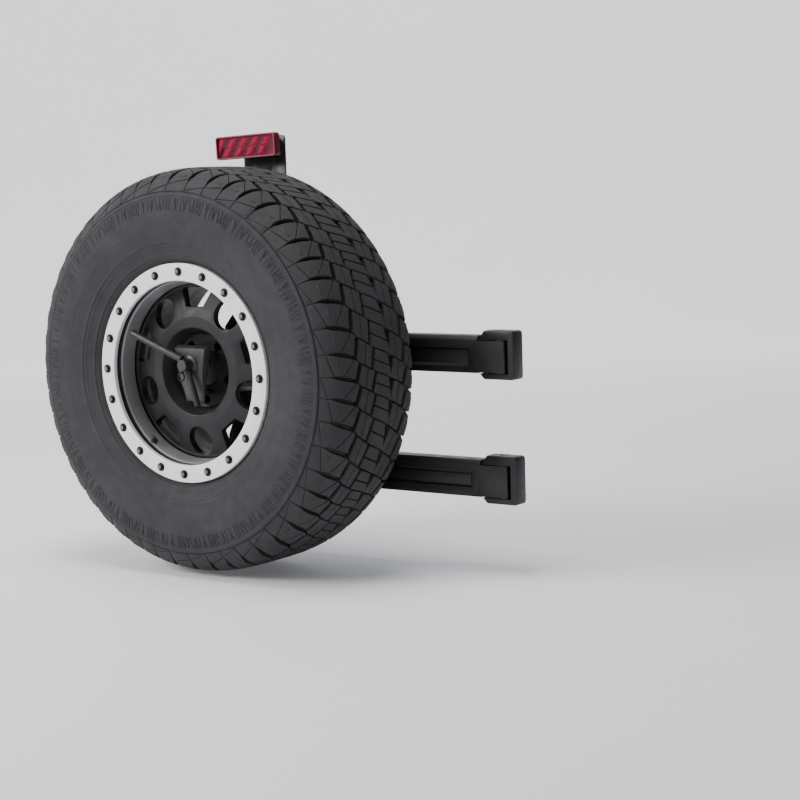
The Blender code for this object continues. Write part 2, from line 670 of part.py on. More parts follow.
def beadlock_ring(parent, wheel_frame):
    low = RING_FRONT - RING_THICKNESS
    profile = [
        (RING_R - 0.0015, RING_FRONT), (RING_R, RING_FRONT - 0.0015), (RING_R, low), (RING_BORE_R, low),
        (RING_BORE_R, RING_FRONT - 0.001), (RING_BORE_R + 0.001, RING_FRONT),
    ]
    ring = turned("beadlock_ring", profile, "machined_ring", parent, wheel_frame, steps=WHEEL_STEPS)
    holes = [(place - Vector((0, 0, 0.03)), place + Vector((0, 0, 0.01)), RING_HOLE_R)
             for place in ring_bolt_places()]
    cut(ring, cylinders(*holes, segments=8), wheel_frame)
    mesh = bolt_mesh(0.0074, 0.0055, 0.004, 0.0188, 0.0036)
    for number, place in enumerate(ring_bolt_places(), start=1):
        seat = wheel_frame @ Matrix.Translation(place + Vector((0, 0, GAP)))
        add(f"ring_bolt_{number:02d}", mesh, "bolt_dark", parent, seat)


def valve_axis():
    """Where the valve leaves the barrel's inner wall, and its direction: inwards and out of the wheel."""
    radial = Vector((math.cos(VALVE_ANGLE), math.sin(VALVE_ANGLE), 0))
    return radial * 0.194 + Vector((0, 0, 0.066)), (Vector((0, 0, 0.64)) - radial * 0.77).normalized()


def valve(parent, wheel_frame):
    start, along = valve_axis()
    place = wheel_frame @ Matrix.Translation(start) @ along.to_track_quat("Z", "X").to_matrix().to_4x4()
    stem = [(0.0, 0.0080), (0.0036, 0.0080), (0.0060, 0.0045), (0.0060, -0.0080), (0.0, -0.0080)]
    turned("valve_stem", stem, "dark_rubber", parent, place, steps=16, closed=False)
    cap = [(0.0, 0.0160), (0.0040, 0.0160), (0.0048, 0.0150), (0.0048, 0.0083), (0.0, 0.0083)]
    turned("valve_cap", cap, "lamp_black", parent, place, steps=16, closed=False)


# ---- clamp plate, nut with its two rods, and lock pin

def clamp_plate(parent, wheel_frame):
    """A pressed pan, folded back towards its foot, on three legs that stand on the wheel's hub face."""
    front = [(-0.042, 0.051, PAN_FRONT), (0.042, 0.051, PAN_FRONT), (0.0325, -0.004, PAN_FRONT),
             (0.023, -0.059, PAN_FRONT - 0.009), (-0.023, -0.059, PAN_FRONT - 0.009),
             (-0.0325, -0.004, PAN_FRONT)]
    flare = 1.11
    top, foot_y = front[0][1], front[3][1]
    slope = (PAN_FOOT_BACK - PAN_BACK) / (foot_y - top)
    back = [(x * flare, y * flare, PAN_BACK + slope * (y - top)) for x, y, _ in front]

    def build(bm):
        near = [bm.verts.new(place) for place in front]
        far = [bm.verts.new(place) for place in back]
        bm.faces.new((near[0], near[5], near[2], near[1]))
        bm.faces.new((near[5], near[4], near[3], near[2]))
        for i in range(6):
            bm.faces.new((near[i], near[(i + 1) % 6], far[(i + 1) % 6], far[i]))
        bmesh.ops.recalc_face_normals(bm, faces=bm.faces)

    plate = add("clamp_plate", mesh_of(build), "clamp_grey", parent, wheel_frame, smooth=False)
    skin = plate.modifiers.new("sheet", "SOLIDIFY")
    skin.thickness = 0.004
    skin.offset = -1
    skin.use_even_offset = True
    foot = HUB_FACE + GAP
    join(plate, boxes(
        ((0.0245, 0.028, foot), (0.0325, 0.044, PAN_FRONT - 0.002)),
        ((-0.0325, 0.028, foot), (-0.0245, 0.044, PAN_FRONT - 0.002)),
        ((-0.010, -0.052, foot), (0.010, -0.040, PAN_FRONT - 0.0105)),
    ), wheel_frame)
    cut(plate, cylinders(((0, STUD_UP, 0.0), (0, STUD_UP, 0.1), STUD_R + 0.0008)), wheel_frame)
    return plate


def nut_and_rods(parent, wheel_frame):
    """The clamp nut: a flanged hub with a blind thread, and two rods welded to its side."""
    bore = STUD_R + GAP
    profile = [
        (NUT_R - 0.001, NUT_TIP), (NUT_R, NUT_TIP - 0.001), (NUT_R, NUT_SEAT + 0.0035),
        (0.020, NUT_SEAT + 0.0025), (0.020, NUT_SEAT), (bore, NUT_SEAT), (bore, NUT_END), (0.0, NUT_END),
        (0.0, NUT_TIP),
    ]
    place = wheel_frame @ Matrix.Translation((0, STUD_UP, 0))
    nut = turned("clamp_nut", profile, "clamp_grey", parent, place, steps=20)
    across = polar(0.03, LOCK_PIN_ANGLE)
    level = Vector((0, 0, LOCK_PIN_OUT))
    cut(nut, cylinders((level - across, level + across, LOCK_PIN_R + GAP), segments=16), place)
    for name, (radius, height, angle, length, offset) in RODS.items():
        curve = bpy.data.curves.new(name, "CURVE")
        curve.dimensions = "3D"
        curve.bevel_depth = radius
        curve.bevel_resolution = 2
        curve.use_fill_caps = True
        spline = curve.splines.new("POLY")
        spline.points.add(1)
        aside = polar(offset, angle + 90)
        start = polar(NUT_R + 0.0015, angle, height) + aside
        end = polar(length, angle, height) + aside
        spline.points[0].co = (*start, 1.0)
        spline.points[1].co = (*end, 1.0)
        rod = bpy.data.objects.new(name, curve)
        PARTS.objects.link(rod)
        rod.matrix_world = place
        curve.materials.append(material("clamp_grey"))
        attach(rod, parent)
    return nut


def lock_pin(parent, wheel_frame):
    """A linch pin across the nut's outer end, in front of the stud's tip, with its pull ring below."""
    pin_r, ring_r, wire = LOCK_PIN_R, 0.009, 0.0014
    place = wheel_frame @ Matrix.Translation((0, STUD_UP, LOCK_PIN_OUT))
    turn = Matrix.Rotation(math.radians(LOCK_PIN_ANGLE + 90), 4, "Z")
    upright = place @ turn @ Matrix.Rotation(-math.pi / 2, 4, "X")
    tip, base = 0.016, -0.0175
    profile = [
        (0.0, tip), (pin_r - 0.001, tip), (pin_r, tip - 0.001), (pin_r, -NUT_R - 0.0008),
        (0.0042, -NUT_R - 0.0008), (0.0042, base), (0.0, base),
    ]
    pin = turned("lock_pin", profile, "bolt_dark", parent, upright, steps=16, closed=False)
    centre = Vector((0, 0, base - ring_r + wire))
    major, minor = 16, 6

    def build(bm):
        rows = []
        for i in range(major):
            turn = 2 * math.pi * i / major
            out = Vector((math.sin(turn), 0, math.cos(turn)))
            rows.append([bm.verts.new(centre + out * (ring_r + wire * math.cos(b))
                                      + Vector((0, 1, 0)) * wire * math.sin(b))
                         for b in (2 * math.pi * j / minor for j in range(minor))])
        for i in range(major):
            for j in range(minor):
                bm.faces.new((rows[i][j], rows[(i + 1) % major][j],
                              rows[(i + 1) % major][(j + 1) % minor], rows[i][(j + 1) % minor]))
        bmesh.ops.recalc_face_normals(bm, faces=bm.faces)

    join(pin, mesh_of(build), upright)
    return pin


def main():
    wheel_frame = out_matrix(WHEEL_X, MOUNT_FACE_Y, WHEEL_Z)
    swing = empty("carrier_swing_axis", Matrix.Translation((0, PIN_Y, 0)))
    wheel = empty("wheel_axis", wheel_frame, swing)
    stud_axis = empty("clamp_axis", wheel_frame @ Matrix.Translation((0, STUD_UP, 0)), wheel)
    for level, height in (("lower", 0.0), ("upper", HINGE_SPACING)):
        body_bracket(f"{level}_body_bracket", height)
        hinge_pin(f"{level}_hinge_pin", height)
        pin_clip(f"{level}_pin_clip", height)
        hinge_arm(f"{level}_hinge_arm", height, swing)
        hinge_bush(f"{level}_hinge_top_bush", height, 1, swing)
        hinge_bush(f"{level}_hinge_bottom_bush", height, -1, swing)
    carrier_plate(swing)
    wheel_tower(swing, wheel_frame)
    wheel_stud(swing, wheel_frame)
    plate_bolts(swing, wheel_frame)
    lamp_bracket(swing)
    brake_lamp(swing)
    lamp_grommet(swing)
    tire(wheel, wheel_frame)
    wheel_rim(wheel, wheel_frame)
    beadlock_ring(wheel, wheel_frame)
    valve(wheel, wheel_frame)
    clamp_plate(stud_axis, wheel_frame)
    nut_and_rods(stud_axis, wheel_frame)
    lock_pin(stud_axis, wheel_frame)


remove_all()
PARTS = collection(OBJECT_NAME)
HELPERS = collection("cutters")
main()
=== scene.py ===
"""Looks of the swing-away spare tire carrier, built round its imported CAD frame.

Metres, in the frame of the CAD: +X to the hinge side, +Y into the vehicle, +Z up. Turned pieces of the wheel
are drawn in the wheel's own "out" frame: x right, y up and z away from the vehicle, seen from outside.
"""
import json
import math

import bmesh
import bpy
import numpy as np
from mathutils import Matrix, Vector


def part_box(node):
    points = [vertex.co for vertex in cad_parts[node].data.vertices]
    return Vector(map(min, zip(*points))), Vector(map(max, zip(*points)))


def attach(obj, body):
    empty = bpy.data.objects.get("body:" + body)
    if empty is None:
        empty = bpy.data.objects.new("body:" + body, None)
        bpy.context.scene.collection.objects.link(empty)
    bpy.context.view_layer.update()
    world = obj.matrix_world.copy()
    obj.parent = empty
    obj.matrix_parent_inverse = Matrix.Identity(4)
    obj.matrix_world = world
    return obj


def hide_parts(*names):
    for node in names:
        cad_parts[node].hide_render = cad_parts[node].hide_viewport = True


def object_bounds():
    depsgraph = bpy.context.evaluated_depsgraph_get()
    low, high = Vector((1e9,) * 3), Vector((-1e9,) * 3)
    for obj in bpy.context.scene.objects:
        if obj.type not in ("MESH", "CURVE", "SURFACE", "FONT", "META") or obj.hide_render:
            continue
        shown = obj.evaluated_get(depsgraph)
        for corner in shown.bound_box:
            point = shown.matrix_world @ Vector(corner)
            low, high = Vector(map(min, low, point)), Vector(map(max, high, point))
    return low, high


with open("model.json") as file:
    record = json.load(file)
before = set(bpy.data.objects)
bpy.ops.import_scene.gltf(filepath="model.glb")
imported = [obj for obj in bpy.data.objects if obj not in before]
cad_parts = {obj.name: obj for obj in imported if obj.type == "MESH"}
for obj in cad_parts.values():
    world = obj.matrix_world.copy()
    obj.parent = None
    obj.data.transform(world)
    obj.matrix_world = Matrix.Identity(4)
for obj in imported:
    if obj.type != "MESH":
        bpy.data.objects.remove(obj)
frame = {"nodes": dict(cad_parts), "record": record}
CAD_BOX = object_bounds()

# ---- places, read from the frame

RING_FRONT = 0.096  # the clamp ring's front face, in front of the wheel's mounting face
ring_low, ring_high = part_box("beadlock_ring")
WHEEL_X = (ring_low.x + ring_high.x) / 2
WHEEL_Z = (ring_low.z + ring_high.z) / 2
MOUNT_FACE_Y = ring_low.y + RING_FRONT
FACING_OUT = Matrix.Rotation(math.pi / 2, 4, "X")
WHEEL = Matrix.Translation((WHEEL_X, MOUNT_FACE_Y, WHEEL_Z)) @ FACING_OUT
stud_low, stud_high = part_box("wheel_stud")
STUD_UP = (stud_low.z + stud_high.z) / 2 - WHEEL_Z
STUD_AXIS = WHEEL @ Matrix.Translation((0, STUD_UP, 0))
GAP = 0.0003
# Bounds of the finishes, as radii and as distances in front of the mounting face.
WALL_R, WALL_FOOT = (0.1870, 0.1975), 0.0405  # the bare wall inside the ring
MASK_EDGE = 0.001
PAINTED_SHADE_BACK = (0.032, 0.026)  # painted shade: in front of the mounting face, where the wheel's colour starts and ends its fade to near black behind the disc
DARKER_BAND_START, DARKER_BAND_END = (0.0700, 0.0712), (0.0925, 0.0935)  # the band on the nut that is painted darker
BUTTON_START = 0.0055  # where the painted highlight on a bolt's button starts, above the ring

# ---- camera, floor and light

CAMERA_PLACE = (2.1423, -3.3348, 0.6219)
CAMERA_AZIMUTH, CAMERA_ELEVATION, CAMERA_ROLL = 36.026, 6.464, -1.788
CAMERA_LENS = 85.1
BEHIND = Vector((-0.588, 0.809, 0.0))  # level, from the camera past the object
ASIDE = BEHIND.cross(Vector((0, 0, 1)))
FLOOR_DROP = 0.004  # below the tire's lowest point
# The floor's ends, the sweep's radius and height, half the width of both, and the steps of the sweep's arc.
FLOOR_NEAR, FLOOR_FAR, SWEEP_R, SWEEP_TOP, SWEEP_HALF = -9.0, 5.0, 3.0, 5.0, 12.0
SWEEP_STEPS = 32
GLOW_DEPTH, GLOW, GLOW_EDGE = (0.0, 5.0), (0.08, 0.80), (2.6, 5.0)
# Light of the surroundings along an axis: name, axis, from, to, strength there and there.
SKY_PARTS = (("hinge_side", (1.0, 0.0, 0.0), -0.3, 0.9, 0.62, 0.10),
             ("behind", tuple(BEHIND), 0.55, 0.95, 0.0, 0.85))
SKY_COLOR = (0.94, 0.955, 1.0, 1.0)
# Area lights aimed at the wheel: name, place, diameter and power.
LIGHTS = (("key", (-3.2, -3.6, 2.6), 2.4, 190), ("top", (-0.4, -0.6, 3.6), 2.2, 90))
RANGE = ("From Min", "From Max", "To Min", "To Max")


def look(place, target):
    """A matrix at place whose -Z points to target."""
    back = Vector(place) - Vector(target)
    return Matrix.Translation(place) @ back.to_track_quat("Z", "Y").to_matrix().to_4x4()


def spun(degrees, axis="Z"):
    return Matrix.Rotation(math.radians(degrees), 4, axis)


def object_of(name, data, place=None):
    made = bpy.data.objects.new(name, data)
    bpy.context.scene.collection.objects.link(made)
    if place is not None:
        made.matrix_world = place
    return made


def camera():
    data = bpy.data.cameras.new("camera")
    data.lens = CAMERA_LENS
    place = Matrix.Translation(CAMERA_PLACE) @ spun(CAMERA_AZIMUTH) @ spun(90 - CAMERA_ELEVATION, "X")
    bpy.context.scene.camera = object_of("camera", data, place @ spun(CAMERA_ROLL))


def area_light(name, place, target, size, power):
    data = bpy.data.lights.new(name, "AREA")
    data.shape = "DISK"
    data.size = size
    data.energy = power
    object_of(name, data, look(place, target))


def studio():
    """Soft light all round: strongest behind the object and from its left, weak on the hinge side."""
    world = bpy.data.worlds.new("studio")
    world.use_nodes = True
    tree = world.node_tree
    direction = tree.nodes.new("ShaderNodeTexCoord").outputs["Generated"]
    parts = []
    for name, axis, low, high, to_low, to_high in SKY_PARTS:
        along = tree.nodes.new("ShaderNodeVectorMath")
        along.operation = "DOT_PRODUCT"
        along.label = name
        tree.links.new(direction, along.inputs[0])
        along.inputs[1].default_value = axis
        level = tree.nodes.new("ShaderNodeMapRange")
        level.interpolation_type = "SMOOTHSTEP"
        tree.links.new(along.outputs["Value"], level.inputs["Value"])
        for key, number in zip(RANGE, (low, high, to_low, to_high)):
            level.inputs[key].default_value = number
        parts.append(level.outputs["Result"])
    total = tree.nodes.new("ShaderNodeMath")
    tree.links.new(parts[0], total.inputs[0])
    tree.links.new(parts[1], total.inputs[1])
    sky = tree.nodes["Background"]
    sky.inputs["Color"].default_value = SKY_COLOR
    tree.links.new(total.outputs["Value"], sky.inputs["Strength"])
    bpy.context.scene.world = world
    middle = (WHEEL_X, MOUNT_FACE_Y, WHEEL_Z)
    for name, place, size, power in LIGHTS:
        area_light(name, place, middle, size, power)


def backdrop():
    """A pale floor that sweeps up behind the object."""
    floor = CAD_BOX[0].z - FLOOR_DROP
    profile = [(FLOOR_NEAR, 0.0)]
    for i in range(SWEEP_STEPS + 1):
        turn = math.pi / 2 * i / SWEEP_STEPS
        profile.append((FLOOR_FAR + SWEEP_R * math.sin(turn), SWEEP_R * (1 - math.cos(turn))))
    profile.append((FLOOR_FAR + SWEEP_R, SWEEP_TOP))
    points, faces = [], []
    for i, (out, up) in enumerate(profile):
        middle = BEHIND * out + Vector((0, 0, floor + up))
        points += [middle - ASIDE * SWEEP_HALF, middle + ASIDE * SWEEP_HALF]
        if i:
            faces.append((2 * i - 2, 2 * i - 1, 2 * i + 1, 2 * i))
    mesh = mesh_from("backdrop", points, faces)
    mesh.shade_smooth()
    mesh.materials.append(backdrop_finish())
    made = object_of("backdrop", mesh)


# ---- materials

# The lamp's reflector cells: how far they lean to the right going up, one cell's width, and where one starts.
CELL_LEAN, CELL_PITCH, CELL_START = 0.64, 0.0326, -0.0440


class Nodes:
    """A node tree under construction: short calls that add and link nodes."""

    def __init__(self, name):
        self.material = bpy.data.materials.new(name)
        self.material.use_nodes = True
        self.tree = self.material.node_tree
        self.shader = self.tree.nodes["Principled BSDF"]
        self.place = self.node("TexCoord").outputs["Object"]

    def node(self, kind, **settings):
        made = self.tree.nodes.new("ShaderNode" + kind)
        for key, value in settings.items():
            setattr(made, key, value)
        return made

    def put(self, socket, value):
        if isinstance(value, bpy.types.NodeSocket):
            self.tree.links.new(value, socket)
        else:
            socket.default_value = value

    def stretched(self, scale):
        mapping = self.node("Mapping")
        self.put(mapping.inputs["Vector"], self.place)
        mapping.inputs["Scale"].default_value = scale
        return mapping.outputs["Vector"]

    def noise(self, scale, detail=3.0, roughness=0.5, place=None, distortion=0.0):
        made = self.node("TexNoise")
        self.put(made.inputs["Vector"], self.place if place is None else place)
        numbers = {"Scale": scale, "Detail": detail, "Roughness": roughness, "Distortion": distortion}
        for key, number in numbers.items():
            made.inputs[key].default_value = number
        return made.outputs["Fac"]

    def span(self, value, low, high, to_low, to_high):
        made = self.node("MapRange")
        self.put(made.inputs["Value"], value)
        for key, number in zip(RANGE, (low, high, to_low, to_high)):
            made.inputs[key].default_value = number
        return made.outputs["Result"]

    def maths(self, operation, first, second):
        made = self.node("Math", operation=operation)
        self.put(made.inputs[0], first)
        self.put(made.inputs[1], second)
        return made.outputs["Value"]

    def blend(self, factor, first, second):
        made = self.node("Mix", data_type="RGBA")
        for key, value in (("Factor", factor), (6, first), (7, second)):
            self.put(made.inputs[key], value)
        return made.outputs[2]

    def cloudy(self, scale, low, high):
        """A value that drifts between low and high in soft clouds."""
        return self.span(self.noise(scale, 4), 0.3, 0.7, low, high)

    def vector(self, operation, value, by=None):
        made = self.node("VectorMath", operation=operation)
        self.put(made.inputs[0], value)
        if by is not None:
            made.inputs[1].default_value = by
        return made.outputs

    def along(self, axis, value=None):
        """A vector's X, Y or Z, as a rule that of the point's place."""
        made = self.node("SeparateXYZ")
        self.put(made.inputs["Vector"], self.place if value is None else value)
        return made.outputs[axis]

    def lines(self, value, scale):
        """Noise that changes only with value, so it shows as lines."""
        made = self.node("CombineXYZ")
        self.put(made.inputs["X"], value)
        return self.noise(scale, 2, 0.6, made.outputs["Vector"])

    def bump(self, height, distance, strength=1.0, below=None):
        made = self.node("Bump")
        self.put(made.inputs["Height"], height)
        made.inputs["Distance"].default_value = distance
        made.inputs["Strength"].default_value = strength
        if below is not None:
            self.put(made.inputs["Normal"], below)
        return made.outputs["Normal"]

    def finish(self, **inputs):
        for name, value in inputs.items():
            self.put(self.shader.inputs[name.replace("_", " ")], value)
        return self.material


def rgb(r, g, b):
    return (r, g, b, 1.0)


def grey(level, blue):
    return (level, level, blue, 1.0)


def backdrop_finish():
    """Pale card. It glows a little at the back, as if lit from behind."""
    n = Nodes("studio_backdrop")
    tone = n.blend(n.cloudy(1.5, 0, 1), rgb(0.88, 0.885, 0.895), rgb(0.91, 0.915, 0.925))
    depth = n.vector("DOT_PRODUCT", n.place, BEHIND)["Value"]
    aside = n.vector("DOT_PRODUCT", n.place, ASIDE)["Value"]
    edge = n.span(aside, *GLOW_EDGE, 1.0, 0.0)
    glow = n.maths("MULTIPLY", n.span(depth, *GLOW_DEPTH, *GLOW), edge)
    return n.finish(Base_Color=tone, Roughness=n.span(n.noise(6.0), 0.3, 0.7, 0.75, 0.9),
                    Emission_Color=rgb(0.95, 0.965, 1.0), Emission_Strength=glow)


def rubber(name, dark, dusty):
    """Matte tire compound: fine grain, dusty bloom in broad patches, mould marks that show as a soft bump."""
    n = Nodes(name)
    bloom = n.span(n.noise(9.0, 4, 0.5, distortion=0.3), 0.30, 0.75, 0.1, 0.75)
    speck = n.span(n.noise(900.0, 2), 0.45, 0.75, 0.0, 0.45)
    tone = n.blend(n.maths("MAXIMUM", bloom, speck), dark, dusty)
    grain = n.bump(n.noise(1400.0, 2), 0.00025, 0.5)
    soft = n.bump(n.noise(60.0, 4), 0.0008, 0.35, grain)
    return n.finish(Base_Color=tone, Roughness=n.cloudy(40.0, 0.68, 0.88),
                    Specular_IOR_Level=0.32, Normal=soft)


def coated_casting(name, dark, worn, grain_depth, roughness):
    """Satin black over a sand-cast or formed surface: grain, faint scuffs and a little dust."""
    n = Nodes(name)
    scuff = n.span(n.noise(140.0, 5, 0.7, n.stretched((1.0, 1.0, 5.0)), 0.8), 0.60, 0.74, 0.0, 0.55)
    patch = n.span(n.noise(14.0, 4), 0.35, 0.7, 0.0, 0.5)
    tone = n.blend(n.maths("MAXIMUM", scuff, patch), dark, worn)
    grain = n.bump(n.noise(1100.0, 3, 0.6), grain_depth, 0.7)
    wave = n.bump(n.noise(75.0, 2), grain_depth * 2.5, 0.25, grain)
    shine = n.cloudy(55.0, roughness - 0.07, roughness + 0.1)
    return n.finish(Base_Color=tone, Roughness=shine, Metallic=0.0, Specular_IOR_Level=0.5, Normal=wave)


def wheel_radius(n):
    """Distance from the wheel's axis, for pieces whose mesh is in the frame of the CAD."""
    from_middle = n.vector("SUBTRACT", n.place, (WHEEL_X, 0.0, WHEEL_Z))["Vector"]
    flat = n.vector("MULTIPLY", from_middle, (1.0, 0.0, 1.0))["Vector"]
    return n.vector("LENGTH", flat)["Value"]


def wheel_coat(name, dark, worn, bare):
    """Satin black on a cast wheel, with painted shade behind its disc. The wall inside the clamp ring is
    machined metal.
    """
    n = Nodes(name)
    patch = n.span(n.noise(22.0, 4), 0.35, 0.7, 0.0, 1.0)
    coat = n.blend(patch, dark, worn)
    depth, radius = n.along("Y"), wheel_radius(n)
    # Painted shade: behind the disc the coat is darkened to near black, where the wheel would lie in shade.
    behind = n.span(depth, MOUNT_FACE_Y - PAINTED_SHADE_BACK[0], MOUNT_FACE_Y - PAINTED_SHADE_BACK[1], 0.0, 1.0)
    coat = n.blend(n.maths("MULTIPLY", behind, 0.8), coat, grey(0.003, 0.0035))
    foot = MOUNT_FACE_Y - WALL_FOOT
    front = n.span(depth, foot, foot - MASK_EDGE, 0.0, 1.0)
    inside = n.span(radius, WALL_R[0], WALL_R[0] + MASK_EDGE, 0.0, 1.0)
    within = n.span(radius, WALL_R[1], WALL_R[1] + MASK_EDGE, 1.0, 0.0)
    wall = n.maths("MULTIPLY", n.maths("MULTIPLY", front, inside), within)
    metal = n.blend(n.span(n.lines(depth, 2400.0), 0.3, 0.7, 0.0, 0.5), bare, worn)
    grain = n.bump(n.noise(1100.0, 3, 0.6), 0.00008, 0.6)
    wave = n.bump(n.noise(75.0, 2), 0.0002, 0.25, grain)
    shine = n.cloudy(55.0, 0.44, 0.58)
    return n.finish(Base_Color=n.blend(wall, coat, metal), Metallic=n.maths("MULTIPLY", wall, 0.4),
                    Roughness=shine, Specular_IOR_Level=0.35, Normal=wave)


def clamp_coat(name, dark, worn, band_tone):
    """Satin grey on the clamp. The band round the nut that holds the rods is painted darker."""
    n = Nodes(name)
    over = n.span(n.along("Y"), *(MOUNT_FACE_Y - out for out in DARKER_BAND_START), 0.0, 1.0)
    under = n.span(n.along("Y"), *(MOUNT_FACE_Y - out for out in DARKER_BAND_END), 1.0, 0.0)
    patch = n.span(n.noise(60.0, 4), 0.35, 0.7, 0.0, 0.6)
    tone = n.blend(patch, dark, worn)
    # The band round the nut is painted darker.
    tone = n.blend(n.maths("MULTIPLY", n.maths("MULTIPLY", over, under), 0.75), tone, band_tone)
    grain = n.bump(n.noise(1100.0, 3, 0.6), 0.0001, 0.7)
    return n.finish(Base_Color=tone, Roughness=n.cloudy(55.0, 0.36, 0.52), Normal=grain)


def bolt_finish(name, dark, button_highlight):
    """Black oxide, with a painted highlight: the buttons in the middle of the ring bolts' heads are painted
    grey, as if lit.
    """
    n = Nodes(name)
    top = MOUNT_FACE_Y - RING_FRONT - BUTTON_START
    # Painted highlight: the top of each bolt's button is painted grey.
    high = n.span(n.along("Y"), top, top - 0.0004, 0.0, 1.0)
    cloud = n.span(n.noise(300.0, 4, 0.65), 0.35, 0.68, 0.6, 1.0)
    marks = n.bump(n.noise(900.0, 3, 0.6), 0.00006, 0.6)
    return n.finish(Base_Color=n.blend(n.maths("MULTIPLY", high, cloud), dark, button_highlight), Metallic=0.6,
                    Roughness=n.cloudy(240.0, 0.36, 0.52), Normal=marks)


def lathe_cut(name):
    """Bright machined aluminium with the lathe's fine rings, a few scratches and haze."""
    n = Nodes(name)
    lines = n.lines(wheel_radius(n), 2600.0)
    haze = n.span(n.noise(30.0, 5, 0.6), 0.35, 0.7, 0.0, 1.0)
    scratch = n.span(n.noise(420.0, 3, 0.6, n.stretched((0.25, 1.0, 3.0)), 1.5), 0.66, 0.72, 0.0, 0.5)
    tone = n.blend(haze, grey(0.95, 0.955), rgb(0.91, 0.912, 0.92))
    tone = n.blend(scratch, tone, grey(0.74, 0.75))
    shine = n.maths("ADD", n.span(lines, 0.3, 0.7, 0.40, 0.48), n.span(haze, 0, 1, 0.0, 0.08))
    return n.finish(Base_Color=tone, Roughness=shine, Metallic=0.12, Normal=n.bump(lines, 0.00006, 0.6))


def plated(name, bright, dull, roughness):
    """Zinc-plated or oiled steel: cloudy crystals and thin wear marks."""
    n = Nodes(name)
    cloud = n.span(n.noise(160.0, 5, 0.65), 0.35, 0.68, 0.0, 1.0)
    tone = n.blend(cloud, bright, dull)
    marks = n.bump(n.noise(700.0, 3, 0.6, n.stretched((1.0, 1.0, 0.2))), 0.00008, 0.6)
    shine = n.cloudy(240.0, roughness - 0.08, roughness + 0.12)
    return n.finish(Base_Color=tone, Roughness=shine, Metallic=1.0, Normal=marks)


def moulded(name, first, second, roughness, grain=0.00003):
    """Moulded plastic or rubber trim, slightly mottled."""
    n = Nodes(name)
    tone = n.blend(n.span(n.noise(110.0, 4), 0.35, 0.65, 0.0, 1.0), first, second)
    shine = n.cloudy(90.0, roughness - 0.04, roughness + 0.08)
    return n.finish(Base_Color=tone, Roughness=shine, Normal=n.bump(n.noise(1500.0, 2), grain, 0.6))


def from_lamp(n, axis):
    """How far a point is from the middle of the lamp's front, along an axis."""
    low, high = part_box("lamp_frame")
    middle = ((low.x + high.x) / 2, low.y, (low.z + high.z) / 2)
    return n.along(axis, n.vector("SUBTRACT", n.place, middle)["Vector"])


def lamp_lip_highlight(name, side, lip):
    """Deep red plastic with a painted highlight: its front lip is painted pale, lighter than the sides."""
    n = Nodes(name)
    # Painted highlight: the frame's front face is painted pale.
    front = n.span(from_lamp(n, "Y"), 0.0004, 0.0016, 1.0, 0.0)
    tone = n.blend(n.span(n.noise(110.0, 4), 0.35, 0.65, 0.0, 1.0), lip, side)
    tone = n.blend(0.25, lip, tone)
    shine = n.cloudy(90.0, 0.30, 0.42)
    return n.finish(Base_Color=n.blend(front, side, tone), Roughness=shine, Specular_IOR_Level=0.25,
                    Normal=n.bump(n.noise(1500.0, 2), 0.00003, 0.6))


def lamp_cells(name, bright, dull):
    """Red lens plastic over slanting reflector cells, with painted highlights: each cell's colour runs from
    dull to bright, standing in for the reflector's shine.
    """
    n = Nodes(name)
    slant = n.maths("SUBTRACT", from_lamp(n, "X"), n.maths("MULTIPLY", from_lamp(n, "Z"), CELL_LEAN))
    turns = n.maths("FRACT", n.maths("DIVIDE", n.maths("SUBTRACT", slant, CELL_START), CELL_PITCH), 0.0)
    swing = n.maths("ABSOLUTE", n.maths("SUBTRACT", turns, 0.5), 0.0)
    uneven = n.maths("ADD", swing, n.span(n.noise(170.0, 3), 0.3, 0.7, -0.11, 0.11))
    # Painted reflection: the colour goes from dull to bright across each cell.
    cell = n.blend(n.span(uneven, 0.14, 0.40, 0.0, 1.0), dull, bright)
    tone = n.blend(n.span(n.noise(60.0, 3), 0.35, 0.65, 0.0, 0.25), cell, dull)
    return n.finish(Base_Color=tone, Roughness=n.cloudy(90.0, 0.22, 0.34),
                    Specular_IOR_Level=0.22, Normal=n.bump(n.noise(900.0, 2), 0.00003, 0.6))


FINISHES = {
    "tire_rubber": rubber("tire_compound", grey(0.033, 0.035), grey(0.050, 0.053)),
    "hinge_black": coated_casting("hinge_casting", grey(0.008, 0.009), grey(0.018, 0.020),
                                  0.00018, 0.42),
    "carrier_black": coated_casting("carrier_coat", grey(0.011, 0.012), grey(0.026, 0.028),
                                    0.00012, 0.38),
    "wheel_black": wheel_coat("wheel_coat", grey(0.013, 0.0145), grey(0.022, 0.024),
                              grey(0.34, 0.35)),
    "clamp_grey": clamp_coat("clamp_coat", grey(0.030, 0.033), grey(0.055, 0.058),
                             grey(0.013, 0.014)),
    "ring_machined": lathe_cut("ring_lathe_cut"),
    "zinc_steel": plated("zinc_plate", grey(0.62, 0.63), grey(0.46, 0.48), 0.34),
    "bolt_dark": bolt_finish("dark_oxide", grey(0.013, 0.014), grey(0.24, 0.25)),
    # The bushes are light grey polymer; their pale tone also stands in for glints in the hinge gaps, a
    # painted highlight.
    "bush_polymer": moulded("bush_polymer", grey(0.60, 0.58), grey(0.46, 0.45), 0.45),
    "soft_rubber": moulded("soft_rubber", grey(0.014, 0.014), grey(0.024, 0.024), 0.62, 0.00008),
    "lamp_black": moulded("lamp_plastic", grey(0.012, 0.012), grey(0.02, 0.02), 0.45),
    "lamp_frame_red": lamp_lip_highlight("lamp_frame_plastic", rgb(0.14, 0.002, 0.014), rgb(0.30, 0.09, 0.12)),
    "lamp_lens_red": lamp_cells("lamp_lens_plastic", rgb(0.48, 0.006, 0.055), rgb(0.13, 0.018, 0.036)),
}
NODE_SLOT = {part["node"]: part["material_slot"] for part in frame["record"]["subparts"]}
